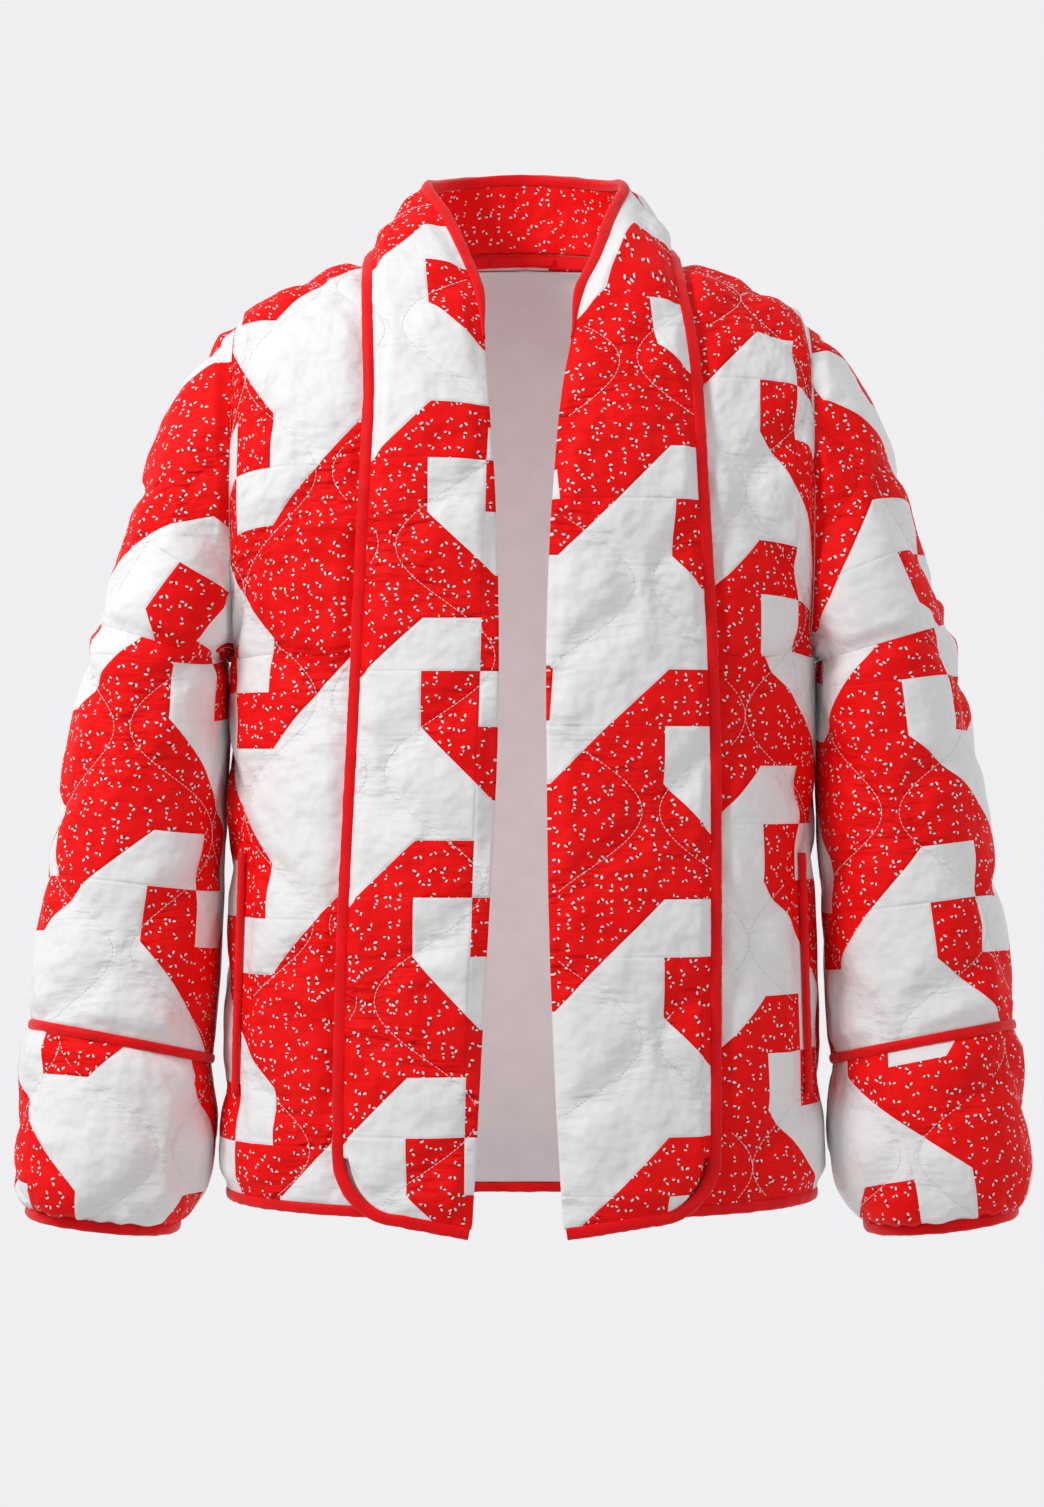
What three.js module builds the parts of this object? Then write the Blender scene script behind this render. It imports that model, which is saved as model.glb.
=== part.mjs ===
// A quilted kimono jacket with wide front bands, a standing collar, dropped sleeves and padded cuffs,
// in the hollow form that it has when worn. Millimetres, +Z up, the front faces -Y.
// Right and left are the wearer's, so the right side lies at -X. The origin is the middle of the
// shoulder line at the base of the neck, where a wearer's shoulders carry the jacket.
import * as THREE from "three";

// Cloth and trim
const WALL = 3; // quilted cloth where it is stitched down
const BAND_WALL = 4.5; // the folded double cloth of the bands and collar
const LINING_WALL = 1.2;
const LINING_GAP = 1; // between the back panel and its lining
const PUFF = 5; // how far the padding rises between the stitch lines
const SEAM_GAP = 0.3; // each side of a seam plane keeps this far from it
const LAY_GAP = 1.6; // between a panel and the band laid on it
const BINDING_WIDE = 8; // bias binding, its width on the cloth
const BINDING_THICK = 5.4;

// Quilting: two wavy lines that nearly meet at each neck and spread to touch their neighbours
const QUILT_PITCH = 152.4;
const QUILT_NECK = 12;
const QUILT_VALLEY = 20; // how far from a line the padding reaches its height
const EDGE_FADE = 18; // how far from a seam the padding reaches its height

// Body, from its measured widths. square is the exponent of the rounded cross section.
const BODY = [
  { z: -664, halfWidth: 206, front: 122, back: 123, square: 2.6 },
  { z: -560, halfWidth: 205, front: 124, back: 119, square: 2.6 },
  { z: -420, halfWidth: 201, front: 125, back: 114, square: 2.5 },
  { z: -272, halfWidth: 199, front: 122, back: 112, square: 2.3 },
];
const SHOULDER_SQUARE = 2.05;
const ARM_X = 199;
const ARMPIT_Z = -272;
const ARM_TOP_Z = -42;
const SHOULDER_SLOPE = 1.5; // exponent of the shoulder's fall from the neck point to the armhole
const ARM_SQUARE = 2.2;
const ARM_FRONT = 76;
const ARM_BACK = 80;
const NECK_X = 106;
const NECK_BACK_Y = 84;
const NECK_BACK_Z = 12;
const CHEST_ROUND = 2.3; // exponent of the chest and back profile closing over the shoulder
const CHEST_START = 0.3; // share of the armhole height where that closing starts
const SIDE_FLOW = 0.11; // how openly the front runs on into the sleeve
const HEM = { front: -652, side: -648, back: -661 };
const UNDERLAP = 30; // how far a front panel runs on under its band
const UNDERLAP_FADE = { from: -160, over: 120 }; // it runs out towards the neck

// Where the bands lie in front: the seam line and the free edge, as distances from the middle
const BAND = [
  { z: -664, seamRight: 122, freeRight: 35.5, seamLeft: 128, freeLeft: 30 },
  { z: -560, seamRight: 121, freeRight: 30, seamLeft: 128, freeLeft: 24 },
  { z: -450, seamRight: 118, freeRight: 24, seamLeft: 128, freeLeft: 20 },
  { z: -340, seamRight: 112.5, freeRight: 18.5, seamLeft: 127.5, freeLeft: 18.5 },
  { z: -250, seamRight: 108.5, freeRight: 17.5, seamLeft: 124.8, freeLeft: 18.5 },
  { z: -170, seamRight: 104.8, freeRight: 19.5, seamLeft: 120.5, freeLeft: 22 },
  { z: -101, seamRight: 102, freeRight: 24, seamLeft: 117, freeLeft: 28 },
];
const BAND_LOW = -660; // middle of the binding at the free edge
const BAND_CORNER_RISE = 9;
const BAND_CORNER = 42; // radius of the rounded lower corner
const BAND_BULGE = 6;

// The neck stretch of the band, from the front to the shoulder and on to the middle of the back
const NECK = [
  { seamZ: -62, rise: 0, freeX: 27, freeY: -104, freeZ: -60, bulge: 6, leftOut: 8 },
  { seamZ: -26, rise: 0, freeX: 33, freeY: -87, freeZ: -26, bulge: 5, leftOut: 9.5 },
  { seamZ: -9, rise: 1, freeX: 43, freeY: -65, freeZ: 1, bulge: 4, leftOut: 12 },
  { seamZ: -2.5, rise: 2, freeX: 57, freeY: -35, freeZ: 31, bulge: 3, leftOut: 9 },
  { seamZ: 0, rise: 2, freeX: 71, freeY: 0, freeZ: 54, bulge: 2, leftOut: 5 },
];
const NAPE = [
  { seamX: 92, freeX: 64, freeY: 44, freeZ: 61.5, bulge: 2 },
  { seamX: 52, freeX: 37, freeY: 76, freeZ: 67.5, bulge: 2 },
  { seamX: 0, freeX: 0, freeY: 87, freeZ: 70, bulge: 2 },
];
const NECK_LIFT = 5; // the collar's lower edge stands this far above the back neckline

// Sleeves: the upper sleeve fans about the armpit, from the armhole to the elbow seam
const PIVOT = { x: 199.6, z: -278 };
const PIVOT_CLEAR = 6;
const UPPER = [
  { angle: 0, reach: 236, front: 76, back: 80 },
  { angle: 3, reach: 222, front: 77, back: 81 },
  { angle: 7.5, reach: 203, front: 79, back: 82 },
  { angle: 13.8, reach: 179, front: 82, back: 84 },
  { angle: 20.2, reach: 156.5, front: 84, back: 85 },
  { angle: 28.5, reach: 133.5, front: 85, back: 85 },
  { angle: 40.7, reach: 111, front: 85, back: 85 },
  { angle: 57.1, reach: 99.5, front: 84, back: 84 },
  { angle: 73.6, reach: 98.6, front: 83, back: 82 },
];
// tilt is how far a ring's front stands above its sides
const LOWER = [
  { outX: 294.2, outZ: -250.2, inX: 205.4, inZ: -276.3, front: 83, back: 82, y: 0, tilt: 0 },
  { outX: 305, outZ: -302, inX: 206, inZ: -325, front: 80, back: 80, y: -1, tilt: 0 },
  { outX: 315.5, outZ: -353, inX: 207.5, inZ: -375, front: 77, back: 77, y: -3, tilt: 1 },
  { outX: 324, outZ: -408, inX: 209.5, inZ: -430, front: 74, back: 74, y: -5, tilt: 3 },
  { outX: 333, outZ: -472, inX: 212.5, inZ: -494, front: 71, back: 71, y: -8, tilt: 5 },
  { outX: 341, outZ: -525, inX: 215.5, inZ: -549, front: 68, back: 68, y: -11, tilt: 7 },
];
const CUFF_BINDING_WIDE = 7;
// Below the binding that closes the lower sleeve
const CUFF = [
  { outX: 345, outZ: -583, inX: 214, inZ: -602, front: 74, back: 74, y: -12, tilt: 5 },
  { outX: 349, outZ: -625, inX: 219.5, inZ: -638, front: 75, back: 75, y: -13, tilt: 2 },
  { outX: 348, outZ: -646, inX: 229, inZ: -655, front: 69, back: 69, y: -13, tilt: 0 },
  { outX: 343, outZ: -652, inX: 239, inZ: -664, front: 58, back: 58, y: -13, tilt: 0 },
];
const SLEEVE_SQUARE = 2.2;
const CUFF_TUCKS = 10;
const CUFF_TUCK_DEPTH = 2.2;
const CUFF_TUCK_START = 0.62; // share of the cuff's length above its gathered stretch

// Bindings beside the bands' own: offset moves a binding's middle out from the panel's outer face
const HEM_BINDING = { wide: BINDING_WIDE, thick: 5, offset: -2.6 };
const POCKET_BINDING = { wide: 7, thick: 4, offset: 2.4 };
const NECK_BINDING = { wide: 7, thick: 4.6 };
const EDGE_BINDING = { wide: BINDING_WIDE, thick: 6.4, endShare: 0.3, taper: 0.09 };
const SIDE_INSET = 1.2; // a hem binding stops this far from the side seam
const CORNER_AT = 0.47; // share of a band's width where its lower corner starts to turn
const POCKET = { top: -408, low: -572, inset: 11 };
const TAPE = { wide: 8, thick: 1.4, gap: 0.9, share: -0.07, inset: 1.9 };
const LOOP = { wide: 5, thick: 1.4, reach: 0.45 };

// Where the quilting's necks fall on each piece, in the cloth's own coordinates: s across, t up
const QUILT_AT = {
  front_right: { s: -136, t: -150 },
  front_left: { s: 80, t: -238 },
  back: { s: 0, t: -220 },
  band_right: { s: 52, t: -200 },
  band_left: { s: 42, t: -226 },
  collar_back: { s: 30, t: 40 },
  sleeve_upper: { s: 10, t: 40 },
  sleeve_lower: { s: -20, t: 66 },
  cuff: { s: 30, t: 88 },
};

// Small helpers
const clamp01 = (t) => Math.min(1, Math.max(0, t));
const smooth = (t) => clamp01(t) ** 2 * (3 - 2 * clamp01(t));
const lerp = (a, b, t) => a + (b - a) * t;
const V = (x, y, z) => new THREE.Vector3(x, y, z);
const bow = (r, power) => Math.max(0, 1 - Math.abs(r) ** power) ** (1 / power);

// A smooth curve through the rows' values, by row number
function alongRows(values, w) {
  const last = values.length - 1;
  const i = Math.min(last - 1, Math.max(0, Math.floor(w)));
  const t = w - i;
  const slope = (k) =>
    (values[Math.min(last, k + 1)] - values[Math.max(0, k - 1)]) / (k === 0 || k === last ? 1 : 2);
  const t2 = t * t;
  const t3 = t2 * t;
  return (
    values[i] * (2 * t3 - 3 * t2 + 1) +
    slope(i) * (t3 - 2 * t2 + t) +
    values[i + 1] * (3 * t2 - 2 * t3) +
    slope(i + 1) * (t3 - t2)
  );
}
const column = (table, name) => table.map((row) => row[name]);

// The same curve looked up by a key column that rises or falls steadily
function lookUp(table, keyName, key, name) {
  const keys = column(table, keyName);
  const rising = keys[1] > keys[0];
  let i = 0;
  while (i < keys.length - 2 && (rising ? key > keys[i + 1] : key < keys[i + 1])) i++;
  const t = clamp01((key - keys[i]) / (keys[i + 1] - keys[i]));
  return alongRows(column(table, name), i + t);
}

// Body surface: how far in front of or behind the middle plane the cloth lies at x, z
const FRONT = -1;
const BACK = 1;
const neckZ = (x) => NECK_BACK_Z * (1 - (x / NECK_X) ** 2);
const neckY = (x) => NECK_BACK_Y * bow(x / NECK_X, ARM_SQUARE);
function topZ(face, x) {
  const ax = Math.abs(x);
  if (ax < NECK_X) return face === BACK ? neckZ(x) : 0;
  return ARM_TOP_Z * ((ax - NECK_X) / (ARM_X - NECK_X)) ** SHOULDER_SLOPE;
}
function bodyDepth(face, x, z) {
  const depthName = face === FRONT ? "front" : "back";
  const ax = Math.abs(x);
  if (z <= ARMPIT_Z) {
    const width = lookUp(BODY, "z", z, "halfWidth");
    return lookUp(BODY, "z", z, depthName) * bow(ax / width, lookUp(BODY, "z", z, "square"));
  }
  const g = clamp01((z - ARMPIT_Z) / (topZ(face, x) - ARMPIT_Z));
  const armDepth = (face === FRONT ? ARM_FRONT : ARM_BACK) * bow(2 * g - 1, ARM_SQUARE);
  const topY = face === BACK && ax < NECK_X ? neckY(x) : 0;
  const closing = bow(clamp01((g - CHEST_START) / (1 - CHEST_START)), CHEST_ROUND);
  const chest = lerp(topY, lookUp(BODY, "z", ARMPIT_Z, depthName), closing);
  const square = lerp(lookUp(BODY, "z", ARMPIT_Z, "square"), SHOULDER_SQUARE, smooth(g));
  const flow = 1 + SIDE_FLOW * smooth(g / 0.25);
  const edge = bow(1 / flow, square);
  const across = (bow(ax / (ARM_X * flow), square) - edge) / (1 - edge);
  return armDepth + (chest - armDepth) * across;
}
const halfWidthAt = (z) => (z > ARMPIT_Z ? ARM_X : lookUp(BODY, "z", z, "halfWidth"));
const hemZ = (face, x) => {
  const r = clamp01(Math.abs(x) / BODY[0].halfWidth);
  return face === FRONT ? lerp(HEM.front, HEM.side, r ** 2) : lerp(HEM.back, HEM.side, r ** 4);
};

const BACK_COLUMNS = { neck: 6, shoulder: 8 }; // from the middle to a neck point, and on to the side

// Rows of a body panel: evenly up to the armpit, then round the armhole
const ARMPIT_ROW = 0.6;
function armShare(v) {
  const turn = Math.PI * ((v - ARMPIT_ROW) / (1 - ARMPIT_ROW) - 0.5);
  return (1 + Math.sign(Math.sin(turn)) * Math.abs(Math.sin(turn)) ** (2 / ARM_SQUARE)) / 2;
}
function rowZ(face, x, v) {
  if (v > ARMPIT_ROW) return lerp(ARMPIT_Z, topZ(face, x), armShare(v));
  return lerp(hemZ(face, x) + BINDING_WIDE + SEAM_GAP, ARMPIT_Z, v / ARMPIT_ROW);
}
// Into the cloth at a seam, kept in the seam's own plane so that two pieces meet square. At the side
// it is straight in, round the armhole towards its middle, and along the shoulder straight down.
function sideInward(side, face, v) {
  if (v <= ARMPIT_ROW) return V(-side, 0, 0);
  const turn = Math.PI * ((v - ARMPIT_ROW) / (1 - ARMPIT_ROW) - 0.5);
  return V(0, -face * Math.cos(turn), -Math.sin(turn)).normalize();
}
function shoulderInward(x) {
  const step = 0.5;
  const slope = (topZ(FRONT, x + step) - topZ(FRONT, x - step)) / (2 * step);
  return V(slope, 0, -1).normalize();
}

// Seam line of a band at height z. Above the table it swings to the neck point.
const sideName = (side) => (side < 0 ? "Right" : "Left");
const BAND_TABLE_TOP = BAND[BAND.length - 1].z;
function seamX(side, z) {
  const inTable = lookUp(BAND, "z", Math.min(z, BAND_TABLE_TOP), "seam" + sideName(side));
  return lerp(inTable, NECK_X, smooth((z - BAND_TABLE_TOP) / -BAND_TABLE_TOP));
}
function frontPanel(side) {
  return (u, v) => {
    const rowHeight =
      v > ARMPIT_ROW ? lerp(ARMPIT_Z, 0, armShare(v)) : lerp(HEM.front, ARMPIT_Z, v / ARMPIT_ROW);
    const lap = lerp(UNDERLAP, 0, smooth((rowHeight - UNDERLAP_FADE.from) / UNDERLAP_FADE.over));
    const inner = seamX(side, rowHeight) - lap;
    const outer = halfWidthAt(rowHeight);
    const x = lerp(inner, outer, Math.sin((u * Math.PI) / 2));
    const z = rowZ(FRONT, x, v);
    const reach = v > ARMPIT_ROW ? x : Math.min(x, halfWidthAt(z));
    return V(side * reach, -bodyDepth(FRONT, reach, z) - SEAM_GAP, z);
  };
}
// The back's columns bunch at the neck points and at the sides
function backColumnX(u, outer) {
  const { neck, shoulder } = BACK_COLUMNS;
  const from = Math.abs(2 * u - 1) * (neck + shoulder);
  const arc = (share) => Math.sin((share * Math.PI) / 2);
  const x = from < neck ? NECK_X * arc(from / neck) : lerp(NECK_X, outer, arc((from - neck) / shoulder));
  return Math.sign(2 * u - 1) * x;
}
const backPanel = (u, v) => {
  const middleZ = v > ARMPIT_ROW ? ARMPIT_Z : lerp(HEM.back, ARMPIT_Z, v / ARMPIT_ROW);
  const x = backColumnX(u, halfWidthAt(middleZ));
  const z = rowZ(BACK, x, v);
  const reach = Math.sign(x) * Math.min(Math.abs(x), halfWidthAt(z));
  return V(reach, bodyDepth(BACK, reach, z) + SEAM_GAP, z);
};
function bodyNormal(face, x, z) {
  const step = 0.5;
  const dx = (bodyDepth(face, x + step, z) - bodyDepth(face, x - step, z)) / (2 * step);
  const dz = (bodyDepth(face, x, z + step) - bodyDepth(face, x, z - step)) / (2 * step);
  return V(-dx, face, -dz).normalize();
}
// A place on the front's or back's outer face, moved out by a distance, and the way out there
function onBody(face, x, z, out) {
  const n = bodyNormal(face, x, z);
  return { p: V(x, face * (bodyDepth(face, x, z) + SEAM_GAP), z).addScaledVector(n, out), n };
}

// Stations of the whole band, from the right hem round the neck to the left hem
function bandStations() {
  const lift = BAND_WALL + LAY_GAP;
  const half = (side) => [
    ...BAND.map((row) => ({
      seam: onBody(FRONT, side * row["seam" + sideName(side)], row.z, lift).p,
      free: V(
        side * row["free" + sideName(side)],
        -bodyDepth(FRONT, row["free" + sideName(side)], row.z) - lift,
        row.z,
      ),
      bulge: BAND_BULGE,
    })),
    ...NECK.map((row) => {
      const x = seamX(side, row.seamZ);
      const seam = row.seamZ < 0 ? onBody(FRONT, side * x, row.seamZ, lift).p : V(side * x, 0, lift);
      const out = side > 0 ? row.leftOut : 0;
      return {
        seam: seam.add(V(0, 0, row.rise)),
        free: V(side * (row.freeX + out), row.freeY, row.freeZ),
        bulge: row.bulge,
      };
    }),
  ];
  const nape = (side) =>
    NAPE.map((row) => ({
      seam: V(side * row.seamX, neckY(row.seamX) + 1, neckZ(row.seamX) + NECK_LIFT),
      free: V(side * row.freeX, row.freeY, row.freeZ),
      bulge: row.bulge,
    }));
  return [...half(-1), ...nape(-1), ...nape(1).slice(0, -1).reverse(), ...half(1).reverse()];
}
const STATIONS = bandStations();
const SHOULDER_STATION = BAND.length + NECK.length - 1;
const LAST_STATION = STATIONS.length - 1;
const alongBand = (name, w) =>
  V(...["x", "y", "z"].map((axis) => alongRows(STATIONS.map((row) => row[name][axis]), w)));

// Outer surface of the band: k is 0 at the seam and 1 at the free edge
function bandPoint(k, w) {
  const seam = alongBand("seam", w);
  const free = alongBand("free", w);
  const point = seam.clone().lerp(free, k);
  const step = 0.05;
  const ahead = alongBand("seam", Math.min(LAST_STATION, w + step)).add(
    alongBand("free", Math.min(LAST_STATION, w + step)),
  );
  const behind = alongBand("seam", Math.max(0, w - step)).add(alongBand("free", Math.max(0, w - step)));
  const out = free.clone().sub(seam).cross(ahead.sub(behind)).normalize();
  const bulge = alongRows(column(STATIONS, "bulge"), w);
  return point.addScaledVector(out, bulge * Math.sin(Math.PI * k));
}

// Distance along the middle of the band, and its inverse
const BAND_STEPS = 400;
const BAND_LENGTH = [0];
for (let i = 1; i <= BAND_STEPS; i++) {
  const w = (n) => (n / BAND_STEPS) * LAST_STATION;
  BAND_LENGTH.push(BAND_LENGTH[i - 1] + bandPoint(0.5, w(i)).distanceTo(bandPoint(0.5, w(i - 1))));
}
const lengthAt = (w) => {
  const n = clamp01(w / LAST_STATION) * BAND_STEPS;
  const i = Math.min(BAND_STEPS - 1, Math.floor(n));
  return lerp(BAND_LENGTH[i], BAND_LENGTH[i + 1], n - i);
};
const stationAt = (length) => {
  let i = 0;
  while (i < BAND_STEPS - 1 && BAND_LENGTH[i + 1] < length) i++;
  const t = clamp01((length - BAND_LENGTH[i]) / (BAND_LENGTH[i + 1] - BAND_LENGTH[i]));
  return ((i + t) / BAND_STEPS) * LAST_STATION;
};

// The band's lower outline with its rounded corner: height at share k across, set in by inset
function bandLowZ(side, k, inset) {
  const width = BAND[0]["seam" + sideName(side)] - BAND[0]["free" + sideName(side)];
  const corner = BAND_CORNER / width;
  const radius = BAND_CORNER - inset;
  const level = BAND_LOW + BAND_CORNER_RISE * clamp01((1 - k) / (1 - corner)) + inset;
  const back = ((corner - k) * width) / radius;
  return back <= 0 ? level : level + radius * (1 - bow(Math.min(1, back), 2));
}
const bandLowStation = (side, k, inset) => {
  const w = (bandLowZ(side, k, inset) - BAND[0].z) / (BAND[1].z - BAND[0].z);
  return side < 0 ? w : LAST_STATION - w;
};
const BAND_INSET = BINDING_WIDE / 2 + SEAM_GAP;
const insetPoint = (share, w) => {
  const inset = BAND_INSET / alongBand("seam", w).distanceTo(alongBand("free", w));
  return bandPoint(lerp(inset, 1, share), w);
};

// A band from the hem to the shoulder seam, across from its binding to the free edge
function bandPanel(side) {
  return (u, v) => {
    const share = side < 0 ? u : 1 - u;
    const low = lengthAt(bandLowStation(side, share, BAND_INSET));
    const top = lengthAt(side < 0 ? SHOULDER_STATION : LAST_STATION - SHOULDER_STATION);
    return insetPoint(share, stationAt(lerp(low, top + side * SEAM_GAP, v)));
  };
}
const collarPanel = (u, v) => {
  const low = lengthAt(SHOULDER_STATION) + SEAM_GAP;
  const high = lengthAt(LAST_STATION - SHOULDER_STATION) - SEAM_GAP;
  return insetPoint(v, stationAt(lerp(low, high, u)));
};

// Sleeve rings: a rounded section whose long axis runs from the underarm to the outer side
function ringPoint(side, ring, turn) {
  const across = Math.cos(turn);
  const deep = Math.sin(turn);
  const power = 2 / SLEEVE_SQUARE;
  const a = Math.sign(across) * Math.abs(across) ** power;
  const b = Math.sign(deep) * Math.abs(deep) ** power;
  const x = lerp(ring.inX, ring.outX, (1 - a) / 2);
  const z = lerp(ring.inZ, ring.outZ, (1 - a) / 2) + ring.tilt * b;
  return V(side * x, ring.y - b * (b > 0 ? ring.front : ring.back), z);
}
function fanRing(w) {
  const angle = (alongRows(column(UPPER, "angle"), w) * Math.PI) / 180;
  const reach = alongRows(column(UPPER, "reach"), w);
  return {
    inX: PIVOT.x + Math.sin(angle) * PIVOT_CLEAR,
    inZ: PIVOT.z + Math.cos(angle) * PIVOT_CLEAR,
    outX: PIVOT.x + Math.sin(angle) * reach,
    outZ: PIVOT.z + Math.cos(angle) * reach,
    front: alongRows(column(UPPER, "front"), w),
    back: alongRows(column(UPPER, "back"), w),
    y: 0,
    tilt: 0,
  };
}
const tableRing = (table, w) =>
  Object.fromEntries(Object.keys(table[0]).map((name) => [name, alongRows(column(table, name), w)]));
// A ring moved along the sleeve, towards the wrist for a positive distance
function shiftRing(ring, distance) {
  const along = V(ring.outX - ring.inX, 0, ring.outZ - ring.inZ).normalize();
  return {
    ...ring,
    inX: ring.inX + along.z * distance,
    outX: ring.outX + along.z * distance,
    inZ: ring.inZ - along.x * distance,
    outZ: ring.outZ - along.x * distance,
  };
}
const SLEEVE_END = LOWER[LOWER.length - 1];
const CUFF_ROWS = [shiftRing(SLEEVE_END, CUFF_BINDING_WIDE + 2 * SEAM_GAP), ...CUFF];
// turn is 0 at the underarm, then round the front, the outer side and the back
const sleeveTurn = (u) => u * 2 * Math.PI;
const upperSleeve = (side) => (u, v) => {
  const ring = fanRing(v * (UPPER.length - 1));
  return ringPoint(side, v === 1 ? shiftRing(ring, -SEAM_GAP) : ring, sleeveTurn(u));
};
const lowerSleeve = (side) => (u, v) => {
  const ring = tableRing(LOWER, v * (LOWER.length - 1));
  return ringPoint(side, v === 0 ? shiftRing(ring, SEAM_GAP) : ring, sleeveTurn(u));
};
const cuffSleeve = (side) => (u, v) =>
  ringPoint(side, tableRing(CUFF_ROWS, v * CUFF.length), sleeveTurn(u));

// Height of the padding at s, t for quilting whose necks lie at the given place
function quiltHeight(s, t, at) {
  const a = (s - at.s) / QUILT_PITCH;
  const x = Math.abs(a - Math.round(a)) * QUILT_PITCH;
  const phase = ((t - at.t) / QUILT_PITCH) * 2 * Math.PI;
  const swing = (QUILT_PITCH - QUILT_NECK) / 4;
  const line = QUILT_NECK / 2 + swing * (1 - Math.cos(phase));
  const slope = swing * Math.sin(phase) * ((2 * Math.PI) / QUILT_PITCH);
  const distance = Math.abs(x - line) / Math.hypot(1, slope);
  return 1 - Math.exp(-((distance / QUILT_VALLEY) ** 2));
}

// Distances along the rows and columns of a grid of points
function lengths(grid) {
  const across = grid.map((row) => {
    let sum = 0;
    return row.map((p, i) => (sum += i ? p.distanceTo(row[i - 1]) : 0));
  });
  const up = grid.map((row) => row.map(() => 0));
  for (let j = 1; j < grid.length; j++) {
    grid[j].forEach((p, i) => (up[j][i] = up[j - 1][i] + p.distanceTo(grid[j - 1][i])));
  }
  return { across, up };
}

// One closed wall of cloth. Its outer face follows surface(u, v), raised by the quilting; its inner
// face is plain, on every second row and column where skip is 2. sign is 1 where u, v turn outwards.
function clothWall({ surface, cols, rows, thickness, sign, wrap = false, skip = 2, cloth, relief, inward }) {
  const grid = [];
  for (let j = 0; j <= rows; j++) {
    grid.push([]);
    for (let i = 0; i <= cols; i++) grid[j].push(surface(i / cols, j / rows));
  }
  const { across, up } = lengths(grid);
  const step = 1e-3;
  const normal = (i, j) => {
    const u = i / cols;
    const v = j / rows;
    const low = (t) => (wrap ? t - step : Math.max(0, t - step));
    const high = (t) => (wrap ? t + step : Math.min(1, t + step));
    const du = surface(high(u), v).sub(surface(low(u), v));
    const dv = surface(u, Math.min(1, v + step)).sub(surface(u, Math.max(0, v - step)));
    return du.cross(dv).normalize().multiplyScalar(sign);
  };
  const outer = [];
  const inner = [];
  const endColumn = wrap ? cols - 1 : cols;
  for (let j = 0; j <= rows; j++) {
    const outerRow = [];
    const innerRow = [];
    for (let i = 0; i <= endColumn; i++) {
      const n = normal(i, j);
      const p = grid[j][i];
      const gap = Math.min(
        across[j][i],
        across[j][cols] - across[j][i],
        up[j][i],
        up[rows][i] - up[j][i],
      );
      const place = cloth ? cloth({ p, across: across[j], up: up[j][i], i, total: up[rows][i] }) : null;
      const fade = smooth(gap / EDGE_FADE);
      const rise = relief ? relief({ ...place, p, u: i / cols, v: j / rows, fade }) : 0;
      const turnIn = (inward && inward(i / cols, j / rows, p)) || n.clone().negate();
      outerRow.push(p.clone().addScaledVector(turnIn, -rise));
      if (j % skip || i % skip) continue;
      innerRow.push(p.clone().addScaledVector(turnIn, thickness));
    }
    outer.push(outerRow);
    if (j % skip === 0) inner.push(innerRow);
  }
  return closeWall(outer, inner, { wrap, skip, sign });
}

// Triangles between an outer grid and an inner grid that has every row and column, or every second
function closeWall(outer, inner, { wrap, skip, sign }) {
  const rows = outer.length;
  const cols = outer[0].length;
  const innerRows = inner.length;
  const innerCols = inner[0].length;
  const points = [...outer.flat(), ...inner.flat()];
  const o = (i, j) => j * cols + (wrap ? i % cols : i);
  const n = (i, j) => rows * cols + j * innerCols + (wrap ? i % innerCols : i);
  const faces = [];
  const quad = (a, b, c, d) => faces.push([a, b, c], [a, c, d]);
  const outerSpan = wrap ? cols : cols - 1;
  const innerSpan = wrap ? innerCols : innerCols - 1;
  for (let j = 0; j < rows - 1; j++) {
    for (let i = 0; i < outerSpan; i++) quad(o(i, j), o(i + 1, j), o(i + 1, j + 1), o(i, j + 1));
  }
  for (let j = 0; j < innerRows - 1; j++) {
    for (let i = 0; i < innerSpan; i++) quad(n(i, j), n(i, j + 1), n(i + 1, j + 1), n(i + 1, j));
  }
  // A rim strip: skip outer steps for each inner step, fanned from the inner edge
  const rim = (outerAt, innerAt, steps, forward) => {
    for (let k = 0; k < steps; k++) {
      const strip = [[innerAt(k), innerAt(k + 1), outerAt(skip * k + 1)]];
      strip.push([innerAt(k), outerAt(skip * k + 1), outerAt(skip * k)]);
      if (skip > 1) strip.push([innerAt(k + 1), outerAt(skip * k + 2), outerAt(skip * k + 1)]);
      strip.forEach(([a, b, c]) => faces.push(forward ? [a, b, c] : [a, c, b]));
    }
  };
  rim((k) => o(k, 0), (k) => n(k, 0), innerSpan, true);
  rim((k) => o(k, rows - 1), (k) => n(k, innerRows - 1), innerSpan, false);
  if (!wrap) {
    rim((k) => o(0, k), (k) => n(0, k), innerRows - 1, false);
    rim((k) => o(cols - 1, k), (k) => n(innerCols - 1, k), innerRows - 1, true);
  }
  const order = sign > 0 ? faces : faces.map(([a, b, c]) => [a, c, b]);
  return solidFrom(points, order);
}
function solidFrom(points, faces) {
  const geometry = new THREE.BufferGeometry();
  geometry.setAttribute("position", new THREE.Float32BufferAttribute(points.flatMap((p) => p.toArray()), 3));
  geometry.setIndex(faces.flat());
  geometry.computeVertexNormals();
  return geometry;
}

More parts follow.
